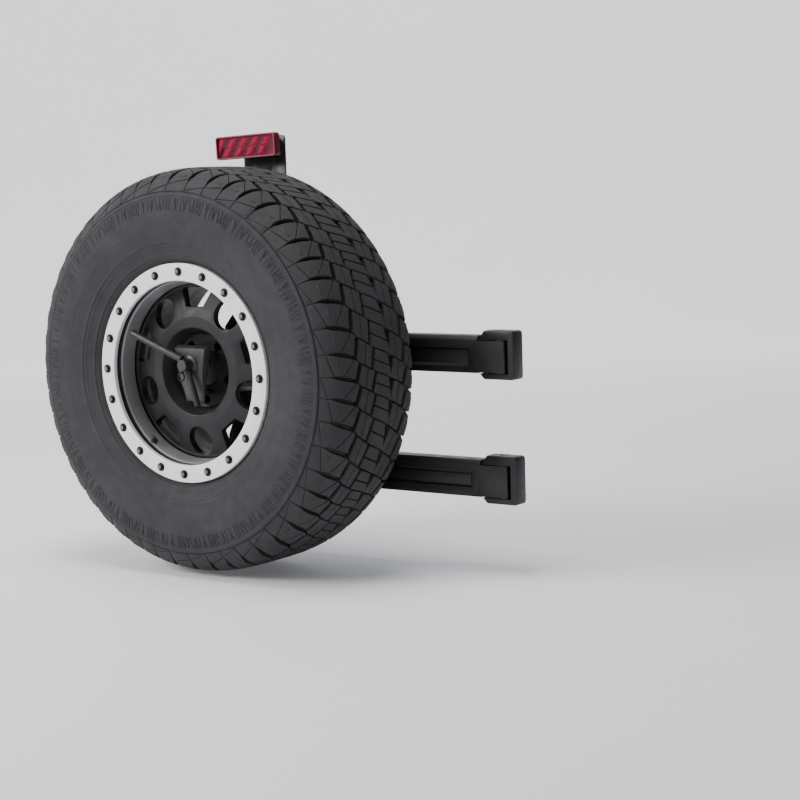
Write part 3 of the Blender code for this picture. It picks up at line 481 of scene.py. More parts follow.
NODE_BODY = {node: body for body, nodes in frame["record"]["behaviour"]["bodies"].items() for node in nodes}

# ---- building


def mesh_from(name, points, faces):
    mesh = bpy.data.meshes.new(name)
    mesh.from_pydata([tuple(point) for point in points], [], faces)
    return mesh


def tidied(mesh, slivers=0.0):
    """One skin with its faces out, and without slivers where a length is given for them."""
    bm = bmesh.new()
    bm.from_mesh(mesh)
    bmesh.ops.remove_doubles(bm, verts=bm.verts, dist=0.000001)
    if slivers:
        bmesh.ops.dissolve_degenerate(bm, edges=bm.edges, dist=slivers)
    bmesh.ops.recalc_face_normals(bm, faces=bm.faces)
    bm.to_mesh(mesh)
    bm.free()
    return mesh


def shade(mesh, sharp=38.0):
    mesh.shade_smooth()
    mesh.set_sharp_from_angle(angle=math.radians(sharp))


def baked(obj):
    """The object's evaluated mesh in the frame of the CAD. The object and its cutters are removed."""
    cutters = [m.object for m in obj.modifiers if m.type == "BOOLEAN"]
    bpy.context.view_layer.update()
    graph = bpy.context.evaluated_depsgraph_get()
    mesh = bpy.data.meshes.new_from_object(obj.evaluated_get(graph))
    mesh.transform(obj.matrix_world)
    for old in (obj, *cutters):
        bpy.data.objects.remove(old)
    return mesh


def piece(name, mesh, *nodes, sharp=38.0):
    """Shows mesh in place of CAD nodes, on their body and with their finish."""
    shade(mesh, sharp)
    made = object_of(name, mesh)
    slot = NODE_SLOT[nodes[0]]
    mesh.materials.clear()
    mesh.materials.append(FINISHES[slot])
    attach(made, NODE_BODY[nodes[0]])
    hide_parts(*nodes)
    return made


def rounded(corners, radius, steps=3, closed=True):
    """The outline with each corner turned into an arc, as wide as its neighbours allow."""
    outline = []
    count = len(corners)
    for i, corner in enumerate(corners):
        here = Vector(corner[:2])
        if not closed and i in (0, count - 1):
            outline.append(here)
            continue
        before = Vector(corners[i - 1][:2]) - here
        after = Vector(corners[(i + 1) % count][:2]) - here
        room = 0.45 * min(before.length, after.length)
        before.normalize()
        after.normalize()
        half = before.angle(after) / 2
        if half > math.radians(87):
            outline.append(here)
            continue
        wanted = corner[2] if len(corner) > 2 else radius
        reach = min(wanted / math.tan(half), room)
        arc = reach * math.tan(half)
        centre = here + (before + after).normalized() * arc / math.sin(half)
        first = here + before * reach - centre
        sweep = first.angle_signed(here + after * reach - centre)
        for step in range(steps + 1):
            outline.append(centre + Matrix.Rotation(-sweep * step / steps, 2) @ first)
    return outline


def turned(profile, steps, closed=True):
    """A surface turned about z from (radius, z) points."""
    points, faces = [], []
    count = len(profile)
    for i in range(steps):
        angle = 2 * math.pi * i / steps
        points += [(r * math.cos(angle), r * math.sin(angle), z) for r, z in profile]
    for i in range(steps):
        a, b = i * count, (i + 1) % steps * count
        for j in range(count if closed else count - 1):
            k = (j + 1) % count
            faces.append((a + j, b + j, b + k, a + k))
    return tidied(mesh_from("turned", points, faces), slivers=0.0000005)


def lathed(profile, steps, radius=None, arc_steps=3):
    """A body turned from a profile whose ends are on the axis. A radius softens its corners."""
    if radius is not None:
        profile = rounded(profile, radius, arc_steps, closed=False)
    return turned(profile, steps, closed=False)


def prism(outline, low, high):
    count = len(outline)
    points = [(p[0], p[1], z) for z in (low, high) for p in outline]
    faces = [tuple(range(count)), tuple(range(2 * count - 1, count - 1, -1))]
    faces += [(i, (i + 1) % count, count + (i + 1) % count, count + i) for i in range(count)]
    return tidied(mesh_from("prism", points, faces))


def ring_of(radius, count, centre=(0.0, 0.0)):
    angles = [2 * math.pi * i / count for i in range(count)]
    return [Vector((centre[0] + radius * math.cos(a), centre[1] + radius * math.sin(a))) for a in angles]


def rod(start, end, radius, end_round=0.0, segments=40):
    """A straight bar with softened ends."""
    start, end = Vector(start), Vector(end)
    length = (end - start).length
    soft = max(end_round, radius * 0.02)
    mesh = lathed([(0, 0), (radius, 0), (radius, length), (0, length)], segments, soft, 4)
    mesh.transform(Matrix.Translation(start) @ (end - start).to_track_quat("Z", "X").to_matrix().to_4x4())
    return mesh


def joined(*meshes):
    """Several closed bodies in one mesh."""
    bm = bmesh.new()
    for mesh in meshes:
        bm.from_mesh(mesh)
    made = bpy.data.meshes.new("joined")
    bm.to_mesh(made)
    bm.free()
    return made


def subtract(obj, mesh, place=None):
    cutter = object_of("cutter", tidied(mesh), place)
    modifier = obj.modifiers.new("cut", "BOOLEAN")
    modifier.operation = "DIFFERENCE"
    modifier.solver = "EXACT"
    modifier.object = cutter


def soften_edges(obj, width, segments=2, angle=32.0):
    modifier = obj.modifiers.new("edges", "BEVEL")
    modifier.width = width
    modifier.segments = segments
    modifier.limit_method = "ANGLE"
    modifier.angle_limit = math.radians(angle)
    modifier.harden_normals = False


def eased(node, width, segments=2, *cuts):
    """A CAD node's own shape, less the cuts, with its sharp edges broken by a small radius."""
    mesh = frame["nodes"][node].data.copy()
    bm = bmesh.new()
    bm.from_mesh(mesh)
    bmesh.ops.remove_doubles(bm, verts=bm.verts, dist=0.00001)
    bmesh.ops.dissolve_limit(bm, angle_limit=math.radians(1.0), verts=bm.verts, edges=bm.edges)
    bm.to_mesh(mesh)
    bm.free()
    obj = object_of("shape", mesh)
    for shape in cuts:
        subtract(obj, shape)
    soften_edges(obj, width, segments)
    return piece(node + "_eased", baked(obj), node, sharp=40)


# ---- tire

TIRE_R = 0.438
TIRE_CENTRE = -0.0375  # the tire's middle plane, in the out frame
RIM_WIDTH = 0.2286
BEAD_SEAT_R = 0.2150
PITCHES = 52
FIRST_PITCH = math.radians(0.33)
PITCH_SWING = math.radians(0.71)  # the pitches grow and shrink, ten times round the tire
SWING_WAVES, SWING_START = 10, math.radians(196.9)
PITCH = 2 * math.pi * TIRE_R / PITCHES
GROOVE = 0.0125  # tread depth
# How far the cross grooves lean round the tread at t along the skin, and half their width in the shoulder.
COURSE_T = (0, 0.020, 0.040, 0.070, 0.085, 0.104, 0.120, 0.1375, 0.165)
COURSE_LEAN = (0, 0.0069, 0.0168, 0.0306, 0.0436, 0.0504, 0.0540, 0.0580, 0.0590)
WIDE_SLOT_T = (0.070, 0.082, 0.098, 0.130, 0.144, 0.150)
WIDE_SLOT = (0.0022, 0.0036, 0.0050, 0.0050, 0.0016, 0.0008)
SHOULDER_T = (0, 0.118, 0.130, 0.142, 0.150, 0.1722, 0.1730, 0.1792, 0.1806)
SHOULDER_H = (-GROOVE, -GROOVE, -0.0105, -0.0044, -0.0020, -0.0020, 0.0013, 0.0013, 0.0)
SIDEWALL_LINES = ((0.2430, 0.0016, 0.0006), (0.2790, 0.0030, 0.0012), (0.2880, 0.0014, 0.0008),
                  (0.3080, 0.0026, 0.0014), (0.3170, 0.0016, 0.0008))  # t, half width, height
SIDE_RIBS = 14  # to two pitches
# Edges of the tread's rows: t at the start and the end of a pitch. Two edges together are a cut's two sides.
MIDDLE_EDGE = (0.0315, 0.0195)
SECOND_INNER, SECOND_OUTER = (0.0392, 0.0272), (0.0808, 0.0688)
SECOND_CUT = ((0.0572, 0.0482), (0.0588, 0.0498))
LUG_INNER, LUG_CUT, LUG_FOOT = (0.0888, 0.0768), ((0.1200, 0.0876), (0.1214, 0.0890)), 0.1690
SIPE = 0.0007  # half a thin cut
FACET_T = (0.1380, 0.1520, 0.1670)  # the slanting line of the lug feet at each cross groove, two pitches long
# The outer skin from the middle of the tread down to the bead, as (radius, distance from the middle plane).
SKIN = [(0.4380, 0.0), (0.4378, 0.040), (0.4364, 0.075), (0.4325, 0.100), (0.4260, 0.1175), (0.4130, 0.1330),
        (0.3900, 0.1490), (0.3650, 0.1568), (0.3400, 0.1590), (0.3150, 0.1570), (0.2900, 0.1515),
        (0.2700, 0.1445), (0.2550, 0.1380), (0.2440, 0.1300), (0.2372, 0.1232)]


def smooth_line(points, per_span=12):
    """A Catmull-Rom line through the points."""
    points = np.array(points, float)
    ends = np.vstack([2 * points[0] - points[1], points, 2 * points[-1] - points[-2]])
    line = []
    for i in range(1, len(ends) - 2):
        a, b, c, d = ends[i - 1:i + 3]
        for x in np.linspace(0, 1, per_span, endpoint=False):
            line.append(0.5 * (2 * b + (c - a) * x + (2 * a - 5 * b + 4 * c - d) * x**2
                               + (3 * b - a - 3 * c + d) * x**3))
    line.append(points[-1])
    return np.array(line)


SKIN_LINE = smooth_line(SKIN)
SKIN_ALONG = np.concatenate([[0.0], np.cumsum(np.linalg.norm(np.diff(SKIN_LINE, axis=0), axis=1))])


def on_skin(t, h):
    """(radius, distance from the middle plane) at t along the skin from its middle, h above it."""
    side = np.where(t < 0, -1.0, 1.0)
    t = np.clip(np.abs(t), 0, SKIN_ALONG[-1])
    step = 0.0006
    r, s = (np.interp(t, SKIN_ALONG, SKIN_LINE[:, i]) for i in (0, 1))
    low, high = np.clip(t - step, 0, None), np.clip(t + step, None, SKIN_ALONG[-1])
    dr, ds = (np.interp(high, SKIN_ALONG, SKIN_LINE[:, i]) - np.interp(low, SKIN_ALONG, SKIN_LINE[:, i])
              for i in (0, 1))
    size = np.hypot(dr, ds)
    return r + h * ds / size, (s - h * dr / size) * side


def on_tire(uth):
    """Points of the frame from (distance round the tread, t, h)."""
    u, t, h = uth.T
    r, s = on_skin(t, h)
    angle = u / TIRE_R + FIRST_PITCH
    angle = angle + PITCH_SWING * np.sin(SWING_WAVES * angle + SWING_START)
    x, z = WHEEL_X + r * np.cos(angle), WHEEL_Z + r * np.sin(angle)
    return np.stack([x, MOUNT_FACE_Y - TIRE_CENTRE - s, z], -1)


def course(t):
    """How far round the tread the cross grooves lean at t: odd, so the pattern looks the same turned over."""
    lean = np.interp(np.abs(t), COURSE_T, COURSE_LEAN)
    return np.where(t < 0, -lean, lean)


def block(start, end, left, right, slot, knots=(0, 0.5, 1), columns=3, height=0.0, foot=-GROOVE - 0.002,
          edge=0.0012, drop=0.0009):
    """A closed tread block between two cross grooves and the lines t = left(f) and right(f), f from 0 to 1.

    slot(t) is half a cross groove's width. The top has a narrow chamfer. Returns (u, t, h) points and faces.
    """
    length = end - start
    width = float(np.mean(right(np.array([0.5])) - left(np.array([0.5]))))
    rim_f, rim_g = min(edge / length, 0.2), min(edge / abs(width), 0.2)
    f = np.unique(np.clip([*knots, rim_f, 1 - rim_f], 0, 1))
    g = np.unique(np.clip([*np.linspace(0, 1, columns + 1), rim_g, 1 - rim_g], 0, 1))
    ff, gg = np.meshgrid(f, g, indexing="ij")
    t = left(ff) + (right(ff) - left(ff)) * gg
    cut = slot(t)
    u = start + cut + (length - 2 * cut) * ff + course(t)
    h = np.full_like(u, height)
    h[[0, -1], :] -= drop
    h[:, [0, -1]] -= drop
    top = np.stack([u, t, h], -1).reshape(-1, 3)
    base = np.stack([u, t, np.full_like(u, foot)], -1).reshape(-1, 3)
    n, m = ff.shape
    count = n * m
    grid = np.arange(count).reshape(n, m)
    faces = []
    for i in range(n - 1):
        for j in range(m - 1):
            a, b, c, d = grid[i, j], grid[i + 1, j], grid[i + 1, j + 1], grid[i, j + 1]
            faces.append((a, b, c, d))
            faces.append((d + count, c + count, b + count, a + count))
    loop = [*grid[:, 0], *grid[-1, 1:], *grid[-2::-1, -1], *grid[0, -2:0:-1]]
    for a, b in zip(loop, loop[1:] + loop[:1]):
        faces.append((b, a, a + count, b + count))
    return np.vstack([top, base]), faces


def bar(start, end, width, height, pieces=4, foot=-0.0015):
    """A low raised rib on the sidewall between two (u, t) points, with sloping sides."""
    start, end = np.array(start, float), np.array(end, float)
    along = (end - start) / np.linalg.norm(end - start)
    across = np.array([-along[1], along[0]])
    rows = []
    for x in np.linspace(0, 1, pieces + 1):
        middle = start + (end - start) * x
        for side, level in ((-1.0, foot), (-0.45, height), (0.45, height), (1.0, foot)):
            rows.append([*(middle + across * width / 2 * side), level])
    faces = [(0, 1, 2, 3), tuple(range(4 * pieces + 3, 4 * pieces - 1, -1))]
    for i in range(pieces):
        for j in range(4):
            k = (j + 1) % 4
            faces.append((4 * i + j, 4 * i + 4 + j, 4 * i + 4 + k, 4 * i + k))
    return np.array(rows), faces


def level_line(value):
    return lambda f: np.full_like(f, value)


def straight_line(first, last):
    return lambda f: first + (last - first) * f


def toothed_line(first, last, depth, teeth=5):
    """A straight edge with small saw teeth along its middle."""
    at = [0, 0.12]
    out = [0, 0]
    for i in range(teeth):
        x = 0.12 + 0.76 * i / teeth
        at += [x + 0.76 / teeth * 0.25, x + 0.76 / teeth]
        out += [depth, 0]
    at.append(1)
    out.append(0)
    return (lambda f: first + (last - first) * f + np.interp(f, at, out)), at


def tread_parts():
    """Two pitches of the tread's outer half and middle row: (side, (points, faces)) each."""
    parts = []
    cross, wide = level_line(0.0020), lambda t: np.interp(t, WIDE_SLOT_T, WIDE_SLOT)
    for number in (0, 1):
        begin, end = number * PITCH, (number + 1) * PITCH
        middle = (begin + end) / 2
        # Middle row: two blocks to a pitch, with a thin cut between them.
        for first, last in ((begin + 0.0008, middle - SIPE), (middle + SIPE, end - 0.0008)):
            edge = straight_line(*MIDDLE_EDGE)
            low_t, high_t = (float(edge((at - begin) / PITCH)) for at in (first, last))
            sides = (straight_line(-low_t, -high_t), straight_line(low_t, high_t))
            parts.append(("middle", block(first, last, *sides, level_line(0.0009), columns=4)))
        # Second row: a pitch-long block cut lengthwise in two.
        near_cut, far_cut = (straight_line(*edge) for edge in SECOND_CUT)
        inner, inner_knots = toothed_line(*SECOND_INNER, 0.0011)
        parts.append(("outer", block(begin, end, inner, near_cut, cross, inner_knots, 2)))
        outer, outer_knots = toothed_line(*SECOND_OUTER, -0.0011)
        parts.append(("outer", block(begin, end, far_cut, outer, cross, outer_knots, 2)))
        # Shoulder lug: a slanting cut parts its inner wedge from the face that rolls over the shoulder.
        near_cut, far_cut = (straight_line(*edge) for edge in LUG_CUT)
        inner, inner_knots = toothed_line(*LUG_INNER, 0.0012)
        parts.append(("outer", block(begin, end, inner, near_cut, wide, inner_knots, 3)))
        near, far = FACET_T[1 - number], FACET_T[2 - number]
        face = straight_line(near - SIPE, far - SIPE)
        parts.append(("outer", block(begin, end, far_cut, face, wide, (0, 0.25, 0.5, 0.75, 1), 11)))
        foot = block(begin, end, straight_line(near + SIPE, far + SIPE), level_line(LUG_FOOT), wide,
                     (0, 0.3, 0.6, 0.85, 1), 4, height=-0.0003, foot=-0.006, drop=0.0007)
        parts.append(("outer", foot))
        # A small pad on the face of each lug.
        pad = block(begin + PITCH * 0.30, begin + PITCH * 0.72, level_line(0.1275), level_line(0.1325),
                    level_line(0.0), (0, 0.5, 1), 2, height=0.0010, foot=-0.002, edge=0.0008, drop=0.0005)
        parts.append(("outer", pad))
    return parts


def sidewall_parts():
    """Two pitches of the low ribs between the lug feet and the plain wall. The sines make them uneven."""
    lean = COURSE_LEAN[-1]
    parts = []
    for i in range(SIDE_RIBS):
        u = 2 * PITCH * (i + 0.22 * math.sin(2.4 * i)) / SIDE_RIBS + lean
        slant = 0.0085 * math.sin(1.7 * i + 0.6)
        foot = 0.2090 + 0.0070 * math.sin(3.1 * i)
        parts.append(("outer", bar((u, 0.1838), (u + slant, foot), 0.0019, 0.0009)))
    parts.append(("outer", bar((lean, 0.1825), (lean - 0.10 * PITCH, 0.2110), 0.0032, 0.0011)))
    return parts


def carcass():
    """The turned body of the tire: groove floor, shoulder, sidewall with ring lines, bead and inner liner."""
    floor, wall = np.linspace(0, 0.118, 22), np.linspace(0.1195, 0.330, 150)
    along = np.unique(np.concatenate([floor, wall, SHOULDER_T]))
    along = along[along < SKIN_ALONG[-1]]
    drop = np.interp(along, SHOULDER_T, SHOULDER_H)
    for at, width, height in SIDEWALL_LINES:
        drop = drop + height * np.exp(-((along - at) / width) ** 2)
    r, s = on_skin(along, drop)
    half = [*zip(r, s), (0.2372, 0.1232)]
    bead = RIM_WIDTH / 2 - GAP
    foot = [(0.2345, 0.1232), (0.2345, bead), (BEAD_SEAT_R + GAP, bead), (BEAD_SEAT_R + GAP, 0.098)]
    inner = [(0.2350, 0.0960), (0.2650, 0.1290), (0.3400, 0.1470), (0.4160, 0.0900)]
    side = half + foot + inner
    count = len(half) + len(foot)
    front = [(r, TIRE_CENTRE + s) for r, s in side]
    rear = [(r, TIRE_CENTRE - s) for r, s in side]
    profile = [*reversed(front[:count]), *rear[1:], *reversed(front[count:])]
    mesh = turned(profile, 240)
    mesh.transform(WHEEL)
    return mesh


def tire():
    points, faces, total = [], [], 0
    for side, (uth, cells) in tread_parts() + sidewall_parts():
        for turn_over in ((1.0,) if side == "middle" else (1.0, -1.0)):
            flipped = uth * np.array([turn_over, turn_over, 1.0])
            for pitch in range(0, PITCHES, 2):
                points.append(on_tire(flipped + np.array([pitch * PITCH, 0, 0])))
                faces += [tuple(int(i) + total for i in face) for face in cells]
                total += len(uth)
    blocks = tidied(mesh_from("blocks", np.vstack(points), faces))
    piece("tire_with_tread", joined(carcass(), blocks), "spare_tire", sharp=33)


# ---- wheel

RING_BOLTS, RING_BOLT_CIRCLE, RING_FIRST = 20, 0.2178, 89
RING_THICKNESS, BOLT_HOLE_R = 0.010, 0.0047
RIM_STEPS = 180
HOLES, HOLE_R, HOLE_CIRCLE = 5, 0.0325, 0.152  # the disc's round holes, with a window between each two
WINDOW = ((0.139, -0.024), (0.181, -0.046), (0.181, 0.046), (0.139, 0.024))
LUG_CIRCLE = 0.0635
VALVE_ANGLE, VALVE_R, VALVE_OUT = -127, 0.194, 0.066
VALVE_LEAN = (0.64, 0.77)  # out, and towards the wheel's axis


def polar(radius, degrees, z=0.0):
    return Vector((radius * math.cos(math.radians(degrees)), radius * math.sin(math.radians(degrees)), z))


def ring_bolt_places():
    return [polar(RING_BOLT_CIRCLE, RING_FIRST + 360 / RING_BOLTS * i, RING_FRONT) for i in range(RING_BOLTS)]


def rim():
    flange_back = TIRE_CENTRE + RIM_WIDTH / 2
    rear = TIRE_CENTRE - RIM_WIDTH / 2
    flange_front = RING_FRONT - RING_THICKNESS - GAP
    seat = BEAD_SEAT_R
    profile = [
        (0.2255, flange_front), (0.2255, flange_back), (seat, flange_back), (seat, 0.048), (0.204, 0.036),
        (0.204, -0.010), (seat, -0.110), (seat, rear), (0.2335, rear), (0.2335, rear - 0.008),
        (0.2085, rear), (0.2085, -0.105), (0.1975, -0.010, 0.006), (0.1870, 0.014, 0.006),
        (0.118, 0.0385, 0.008), (0.101, 0.0385, 0.004), (0.0945, 0.006, 0.004), (0.085, 0.0), (0.0358, 0.0),
        (0.0358, 0.018), (0.080, 0.018, 0.005), (0.095, 0.0525, 0.0035), (0.118, 0.0525, 0.010),
        (0.1845, 0.034, 0.002), (0.1858, 0.0358, 0.0005), (0.1882, 0.0358, 0.0005), (0.1892, 0.0338, 0.0005),
        (0.1965, 0.033, 0.001), (0.1965, 0.0385), (0.1895, 0.0405), (0.1950, 0.072),
        (0.1995, 0.076), (0.1995, flange_front),
    ]
    body = object_of("rim", turned(rounded(profile, 0.0011, 3), RIM_STEPS), WHEEL)
    angles = [360 / HOLES * i - 90 for i in range(HOLES)]
    rounds = [prism(ring_of(HOLE_R, 56, polar(HOLE_CIRCLE, angle)[:2]), -0.05, 0.1) for angle in angles]
    window = rounded(WINDOW, 0.006, 5)
    windows = []
    for angle in angles:
        windows.append(prism(window, -0.05, 0.1))
        windows[-1].transform(spun(angle + 180))
    subtract(body, joined(*rounds, *windows), WHEEL)
    taper = [(0, -0.01), (0.0065, -0.01), (0.0071, 0.004), (0.0112, 0.0205), (0, 0.0205)]
    lugs = []
    for angle in angles:
        cone = lathed(taper, 32)
        cone.transform(Matrix.Translation(polar(LUG_CIRCLE, angle)))
        lugs.append(cone)
    subtract(body, joined(*lugs), WHEEL)
    holes = [prism(ring_of(BOLT_HOLE_R, 16, place[:2]), 0.06, 0.1) for place in ring_bolt_places()]
    subtract(body, joined(*holes), WHEEL)
    soften_edges(body, 0.0010, 2, 50)
    piece("rim_cast", baked(body), "wheel_rim", sharp=35)


def beadlock_ring():
    low = RING_FRONT - RING_THICKNESS
    profile = rounded([
        (0.236, RING_FRONT, 0.0018), (0.236, low, 0.0008), (0.1985, low, 0.0008),
        (0.1985, RING_FRONT, 0.0014),
    ], 0.001, 4)
    body = object_of("ring", turned(profile, RIM_STEPS), WHEEL)
    bore = [(0, 0.08), (BOLT_HOLE_R, 0.08), (BOLT_HOLE_R, 0.0952), (0.0059, 0.0966), (0, 0.0966)]
    holes = []
    for place in ring_bolt_places():
        hole = lathed(bore, 28)
        hole.transform(Matrix.Translation((place.x, place.y, 0)))
        holes.append(hole)
    subtract(body, joined(*holes), WHEEL)
    piece("ring_machined", baked(body), "beadlock_ring", sharp=30)


def flange_bolt(flange_r, across, height, shank_r, shank):
    """A hex-flange bolt with a round button on its head. z = 0 is its seat."""
    washer = [(0, -0.0001), (flange_r, -0.0001), (flange_r, 0.0012), (across * 0.70, 0.0024), (0, 0.0024)]
    washer = lathed(washer, 36, 0.0003, 2)
    hexagon = prism(ring_of(across / math.sqrt(3), 6), 0.0015, height)
    head = object_of("head", hexagon)
    soften_edges(head, across * 0.045, 2)
    hexagon = baked(head)
    foot, top = height - 0.0004, height + 0.0012
    button = lathed([(0, foot), (0.0044, foot), (0.0042, top), (0, top)], 30, 0.0003, 2)
    stem = rod((0, 0, 0.0005), (0, 0, -shank), shank_r, 0.0006, 24)
    return joined(washer, hexagon, button, stem)


def ring_bolts():
    for number, place in enumerate(ring_bolt_places(), start=1):
        mesh = flange_bolt(flange_r=0.0094, across=0.0118, height=0.0050, shank_r=0.004, shank=0.0188)
        mesh.transform(WHEEL @ Matrix.Translation(place + Vector((0, 0, GAP))) @ spun(17.0 * number))
        node = f"ring_bolt_{number:02d}"
        piece(node + "_head", mesh, node, sharp=28)


def valve():
    radial = polar(1.0, VALVE_ANGLE)
    along = (Vector((0, 0, VALVE_LEAN[0])) - radial * VALVE_LEAN[1]).normalized()
    start = radial * VALVE_R + Vector((0, 0, VALVE_OUT))
    place = WHEEL @ Matrix.Translation(start) @ along.to_track_quat("Z", "X").to_matrix().to_4x4()
    stem = [(0, 0.0080), (0.0037, 0.0080), (0.0046, 0.0052, 0.001), (0.0076, 0.0034, 0.0012),
            (0.0078, 0.0012, 0.0006), (0.0060, 0.0006), (0.0060, -0.0080), (0, -0.0080)]
    stem = lathed(stem, 36, 0.0004)
    stem.transform(place)
    piece("valve_stem_moulded", stem, "valve_stem")
    cap = [(0.0, 0.0160), (0.0040, 0.0160)]
    for i in range(4):
        low = 0.0153 - 0.0017 * i
        cap += [(0.0050, low), (0.0050, low - 0.0008), (0.0046, low - 0.0010), (0.0046, low - 0.0014)]
    cap += [(0.0049, 0.0085), (0.0047, 0.0083), (0.0, 0.0083)]
    cap = lathed(cap, 36)
    cap.transform(place)
    piece("valve_cap_ribbed", cap, "valve_cap")


# ---- clamp, nut and rods

NUT_R = 0.0128
LOCK_PIN_OUT, LOCK_PIN_R, LOCK_PIN_ANGLE = 0.0895, 0.0025, -105
PULL_RING_R, PULL_WIRE_R = 0.009, 0.0017
# Each rod: radius, height in front of the mounting face, angle, length and offset from the nut's axis.
RODS = {"long_rod": (0.0076, 0.0795, 158.97, 0.1672, -0.0064),
        "short_rod": (0.0068, 0.0778, -73.0, 0.0915, 0.0)}


def nut_and_rods():
    """The nut, bored blind from behind and cross-drilled for the lock pin, and the two rods on its side."""
    seat, tip, end = 0.067 + GAP, 0.095, 0.0935
    profile = [
        (0, tip), (NUT_R - 0.001, tip, 0.0006), (NUT_R, tip - 0.0012, 0.0006),
        (NUT_R, seat + 0.0042, 0.0015), (0.0200, seat + 0.0028, 0.0008), (0.0200, seat, 0.0004),
        (0.0083, seat, 0.0003), (0.0083, end, 0.0003),
        (0, end),
    ]
    nut = object_of("nut", lathed(profile, 72, 0.0005), STUD_AXIS)
    across = polar(0.03, LOCK_PIN_ANGLE)
    level = Vector((0, 0, LOCK_PIN_OUT))
    subtract(nut, rod(level - across, level + across, LOCK_PIN_R + GAP, segments=24), STUD_AXIS)
    piece("nut_turned", baked(nut), "clamp_nut")
    for node, (radius, height, angle, length, offset) in RODS.items():
        aside = polar(offset, angle + 90)
        start = polar(NUT_R + 0.0015, angle, height) + aside
        bar_mesh = rod(start, polar(length, angle, height) + aside, radius, 0.0011, 48)
        bead = []
        for i in range(9):
            turn = math.radians(-90 + 180 * i / 8)
            bead.append((radius - 0.0001 + 0.0012 * math.cos(turn), 0.0007 + 0.0010 * math.sin(turn)))
        weld = turned(bead, 48)
        weld.transform(Vector((0, 0, 1)).rotation_difference(polar(1, angle)).to_matrix().to_4x4())
        weld.transform(Matrix.Translation(start))
        mesh = joined(bar_mesh, weld)
        mesh.transform(STUD_AXIS)
        piece(node + "_welded", mesh, node)


def stud():
    """The stud with its thread as real ridges."""
    tip, root, pitch = 0.084, 0.030, 0.0025
    crest, valley = 0.0079, 0.0069
    profile = [(0, tip), (0.0064, tip)]
    z = tip - 0.0012
    while z > root:
        profile += [(crest, z), (crest, z - pitch * 0.15)]
        profile += [(valley, z - pitch * 0.5), (valley, z - pitch * 0.65)]
        z -= pitch
    profile += [(0.0080, root - 0.002), (0.0080, -0.0203), (0.0140, -0.0203), (0.0140, -0.0320), (0, -0.0320)]
    mesh = lathed(profile, 48)
    mesh.transform(STUD_AXIS)
    piece("stud_threaded", mesh, "wheel_stud", sharp=30)


def lock_pin():
    """A linch pin with its pull ring."""
    place = STUD_AXIS @ Matrix.Translation((0, 0, LOCK_PIN_OUT)) @ spun(LOCK_PIN_ANGLE + 90) @ spun(-90, "X")
    shank = [(0, 0.016), (LOCK_PIN_R, 0.016, 0.0012), (LOCK_PIN_R, -0.0136), (0.0042, -0.0138),
             (0.0042, -0.0178), (0, -0.0178)]
    shank = lathed(shank, 36, 0.0004)
    ring = turned(ring_of(PULL_WIRE_R, 14, (PULL_RING_R, 0.0)), 48)
    ring.transform(Matrix.Translation((0, 0, -0.0251)) @ FACING_OUT)
    mesh = joined(shank, ring)
    mesh.transform(place)
    piece("lock_pin_with_ring", mesh, "lock_pin")


# ---- lamp

LAMP_TILT = 1.9  # degrees
LAMP_SIZE = (0.1705, 0.0515)
LENS_MARGIN = 0.0076  # the frame's two edges together
LENS_BACK, LENS_FRONT = -0.020, -0.0046  # from the frame's face
CELL_FOOT, CELL_RIDGE, CELL_SHARE = -0.0050, -0.0018, 0.92  # a cell fills this share of its pitch


def lamp_cell(number, bottom, top, limit):
    """One reflector cell, a low wedge cut off at the lens's ends. None where too little of it is left."""
    ends = []
    for y in (bottom, top):
        near = CELL_START + CELL_PITCH * number + CELL_LEAN * y - CELL_PITCH * CELL_SHARE / 2
        ends += [near, near + CELL_PITCH * CELL_SHARE]
    if max(ends) < -limit + 0.004 or min(ends) > limit - 0.004:
        return None
    left, right, top_left, top_right = (min(max(x, -limit), limit) for x in ends)
    points = [(left, bottom, CELL_FOOT), (right, bottom, CELL_FOOT),
              (top_right, top, CELL_FOOT), (top_left, top, CELL_FOOT),
              ((left + right) / 2, bottom + 0.0015, CELL_RIDGE),
              ((top_left + top_right) / 2, top - 0.0015, CELL_RIDGE)]
    faces = [(3, 2, 1, 0), (0, 1, 4), (1, 2, 5, 4), (2, 3, 5), (3, 0, 4, 5)]
    return mesh_from("facet", points, faces)


def lamp():
    """The lens, with two rows of reflector cells."""
    low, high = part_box("lamp_frame")
    centre = (low + high) / 2
    place = Matrix.Translation((centre.x, low.y, centre.z)) @ FACING_OUT @ spun(LAMP_TILT)
    x, y = ((size - LENS_MARGIN) / 2 for size in LAMP_SIZE)
    outline = rounded([(-x, -y), (x, -y), (x, y), (-x, y)], 0.0037, 4)
    body = object_of("lens", prism(outline, LENS_BACK, LENS_FRONT), place)
    soften_edges(body, 0.0006)
    parts = [baked(body)]
    row = y - 0.0025
    for number in range(-3, 4):
        for bottom in (-row - 0.0004, 0.0004):
            facet = lamp_cell(number, bottom, bottom + row, x - 0.003)
            if facet:
                facet.transform(place)
                parts.append(tidied(facet))
    piece("lamp_lens_cells", joined(*parts), "lamp_lens", sharp=20)


# ---- the rest of the CAD nodes

HINGE_DEPTH = 0.038
ARM_MIDDLE = 0.0005  # the arm's middle height, above the hinge's
RECESS_X = (-0.400, -0.0735)
RECESS_Z = (-0.0193, 0.0133)
GROOVE_WIDTH, GROOVE_FLOOR = 0.0046, 0.0303  # the cast line round the arm's recess
RECESS_FLOOR, LIP = 0.033, 0.0056  # the upper arm's recess has a sloping lip below instead


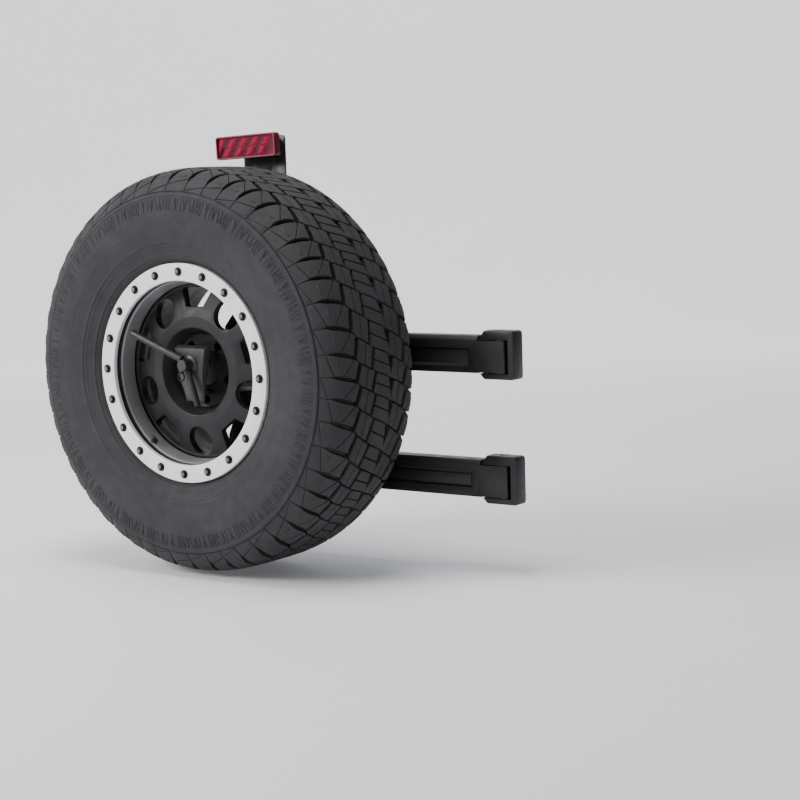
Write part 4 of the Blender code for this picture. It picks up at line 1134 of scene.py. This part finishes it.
def recess_groove(height, lip):
    """A shallow groove round the floor of an arm's recess, or round three sides of it above a sloping lip."""
    (left, right), (bottom, top) = RECESS_X, (z + height for z in RECESS_Z)
    outer = [(left, bottom), (right, bottom), (right, top), (left, top)]
    left, right, top = left + GROOVE_WIDTH, right - GROOVE_WIDTH, top - GROOVE_WIDTH
    bottom += 0.0002 if lip else GROOVE_WIDTH
    inner = [(left, bottom), (right, bottom), (right, top), (left, top)]
    points = []
    for depth in (GROOVE_FLOOR, HINGE_DEPTH + 0.004):
        points += [(x, -depth, z) for x, z in (*outer, *inner)]
    faces = []
    for i in range(4):
        j = (i + 1) % 4
        faces.append((i, j, 4 + j, 4 + i))
        faces.append((8 + i, 12 + i, 12 + j, 8 + j))
        faces.append((i, 8 + i, 8 + j, j))
        faces.append((4 + i, 4 + j, 12 + j, 12 + i))
    return mesh_from("groove", points, faces)


def recess_lip(height):
    """The wedge that is cut away below an arm's recess."""
    z = RECESS_Z[0] + height
    front = HINGE_DEPTH + 0.001
    section = [(RECESS_FLOOR, z + 0.0002), (front, z + 0.0002), (front, z - LIP - 0.001),
               (HINGE_DEPTH, z - LIP)]
    points = [(x, -depth, up) for x in RECESS_X for depth, up in section]
    faces = [(0, 1, 2, 3), (7, 6, 5, 4)]
    faces += [(i, 4 + i, 4 + (i + 1) % 4, (i + 1) % 4) for i in range(4)]
    return mesh_from("lip", points, faces)


def carried_over():
    for node in ("lower_body_bracket", "upper_body_bracket"):
        eased(node, 0.0009, 3)
    for node in ("lower_hinge_arm", "upper_hinge_arm"):
        low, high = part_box(node)
        height = (low.z + high.z) / 2 - ARM_MIDDLE
        upper = node == "upper_hinge_arm"
        lip = [recess_lip(height)] if upper else []
        eased(node, 0.0009, 3, recess_groove(height, upper), *lip)
    for node in ("carrier_plate", "lamp_bracket", "clamp_plate"):
        eased(node, 0.0007)
    for node in ("lamp_frame", "lamp_housing"):
        eased(node, 0.0005)
    for node, obj in frame["nodes"].items():
        obj.data.materials.clear()
        obj.data.materials.append(FINISHES[NODE_SLOT[node]])
        shade(obj.data, 35)


camera()
studio()
backdrop()
carried_over()
tire()
rim()
beadlock_ring()
ring_bolts()
valve()
nut_and_rods()
stud()
lock_pin()
lamp()
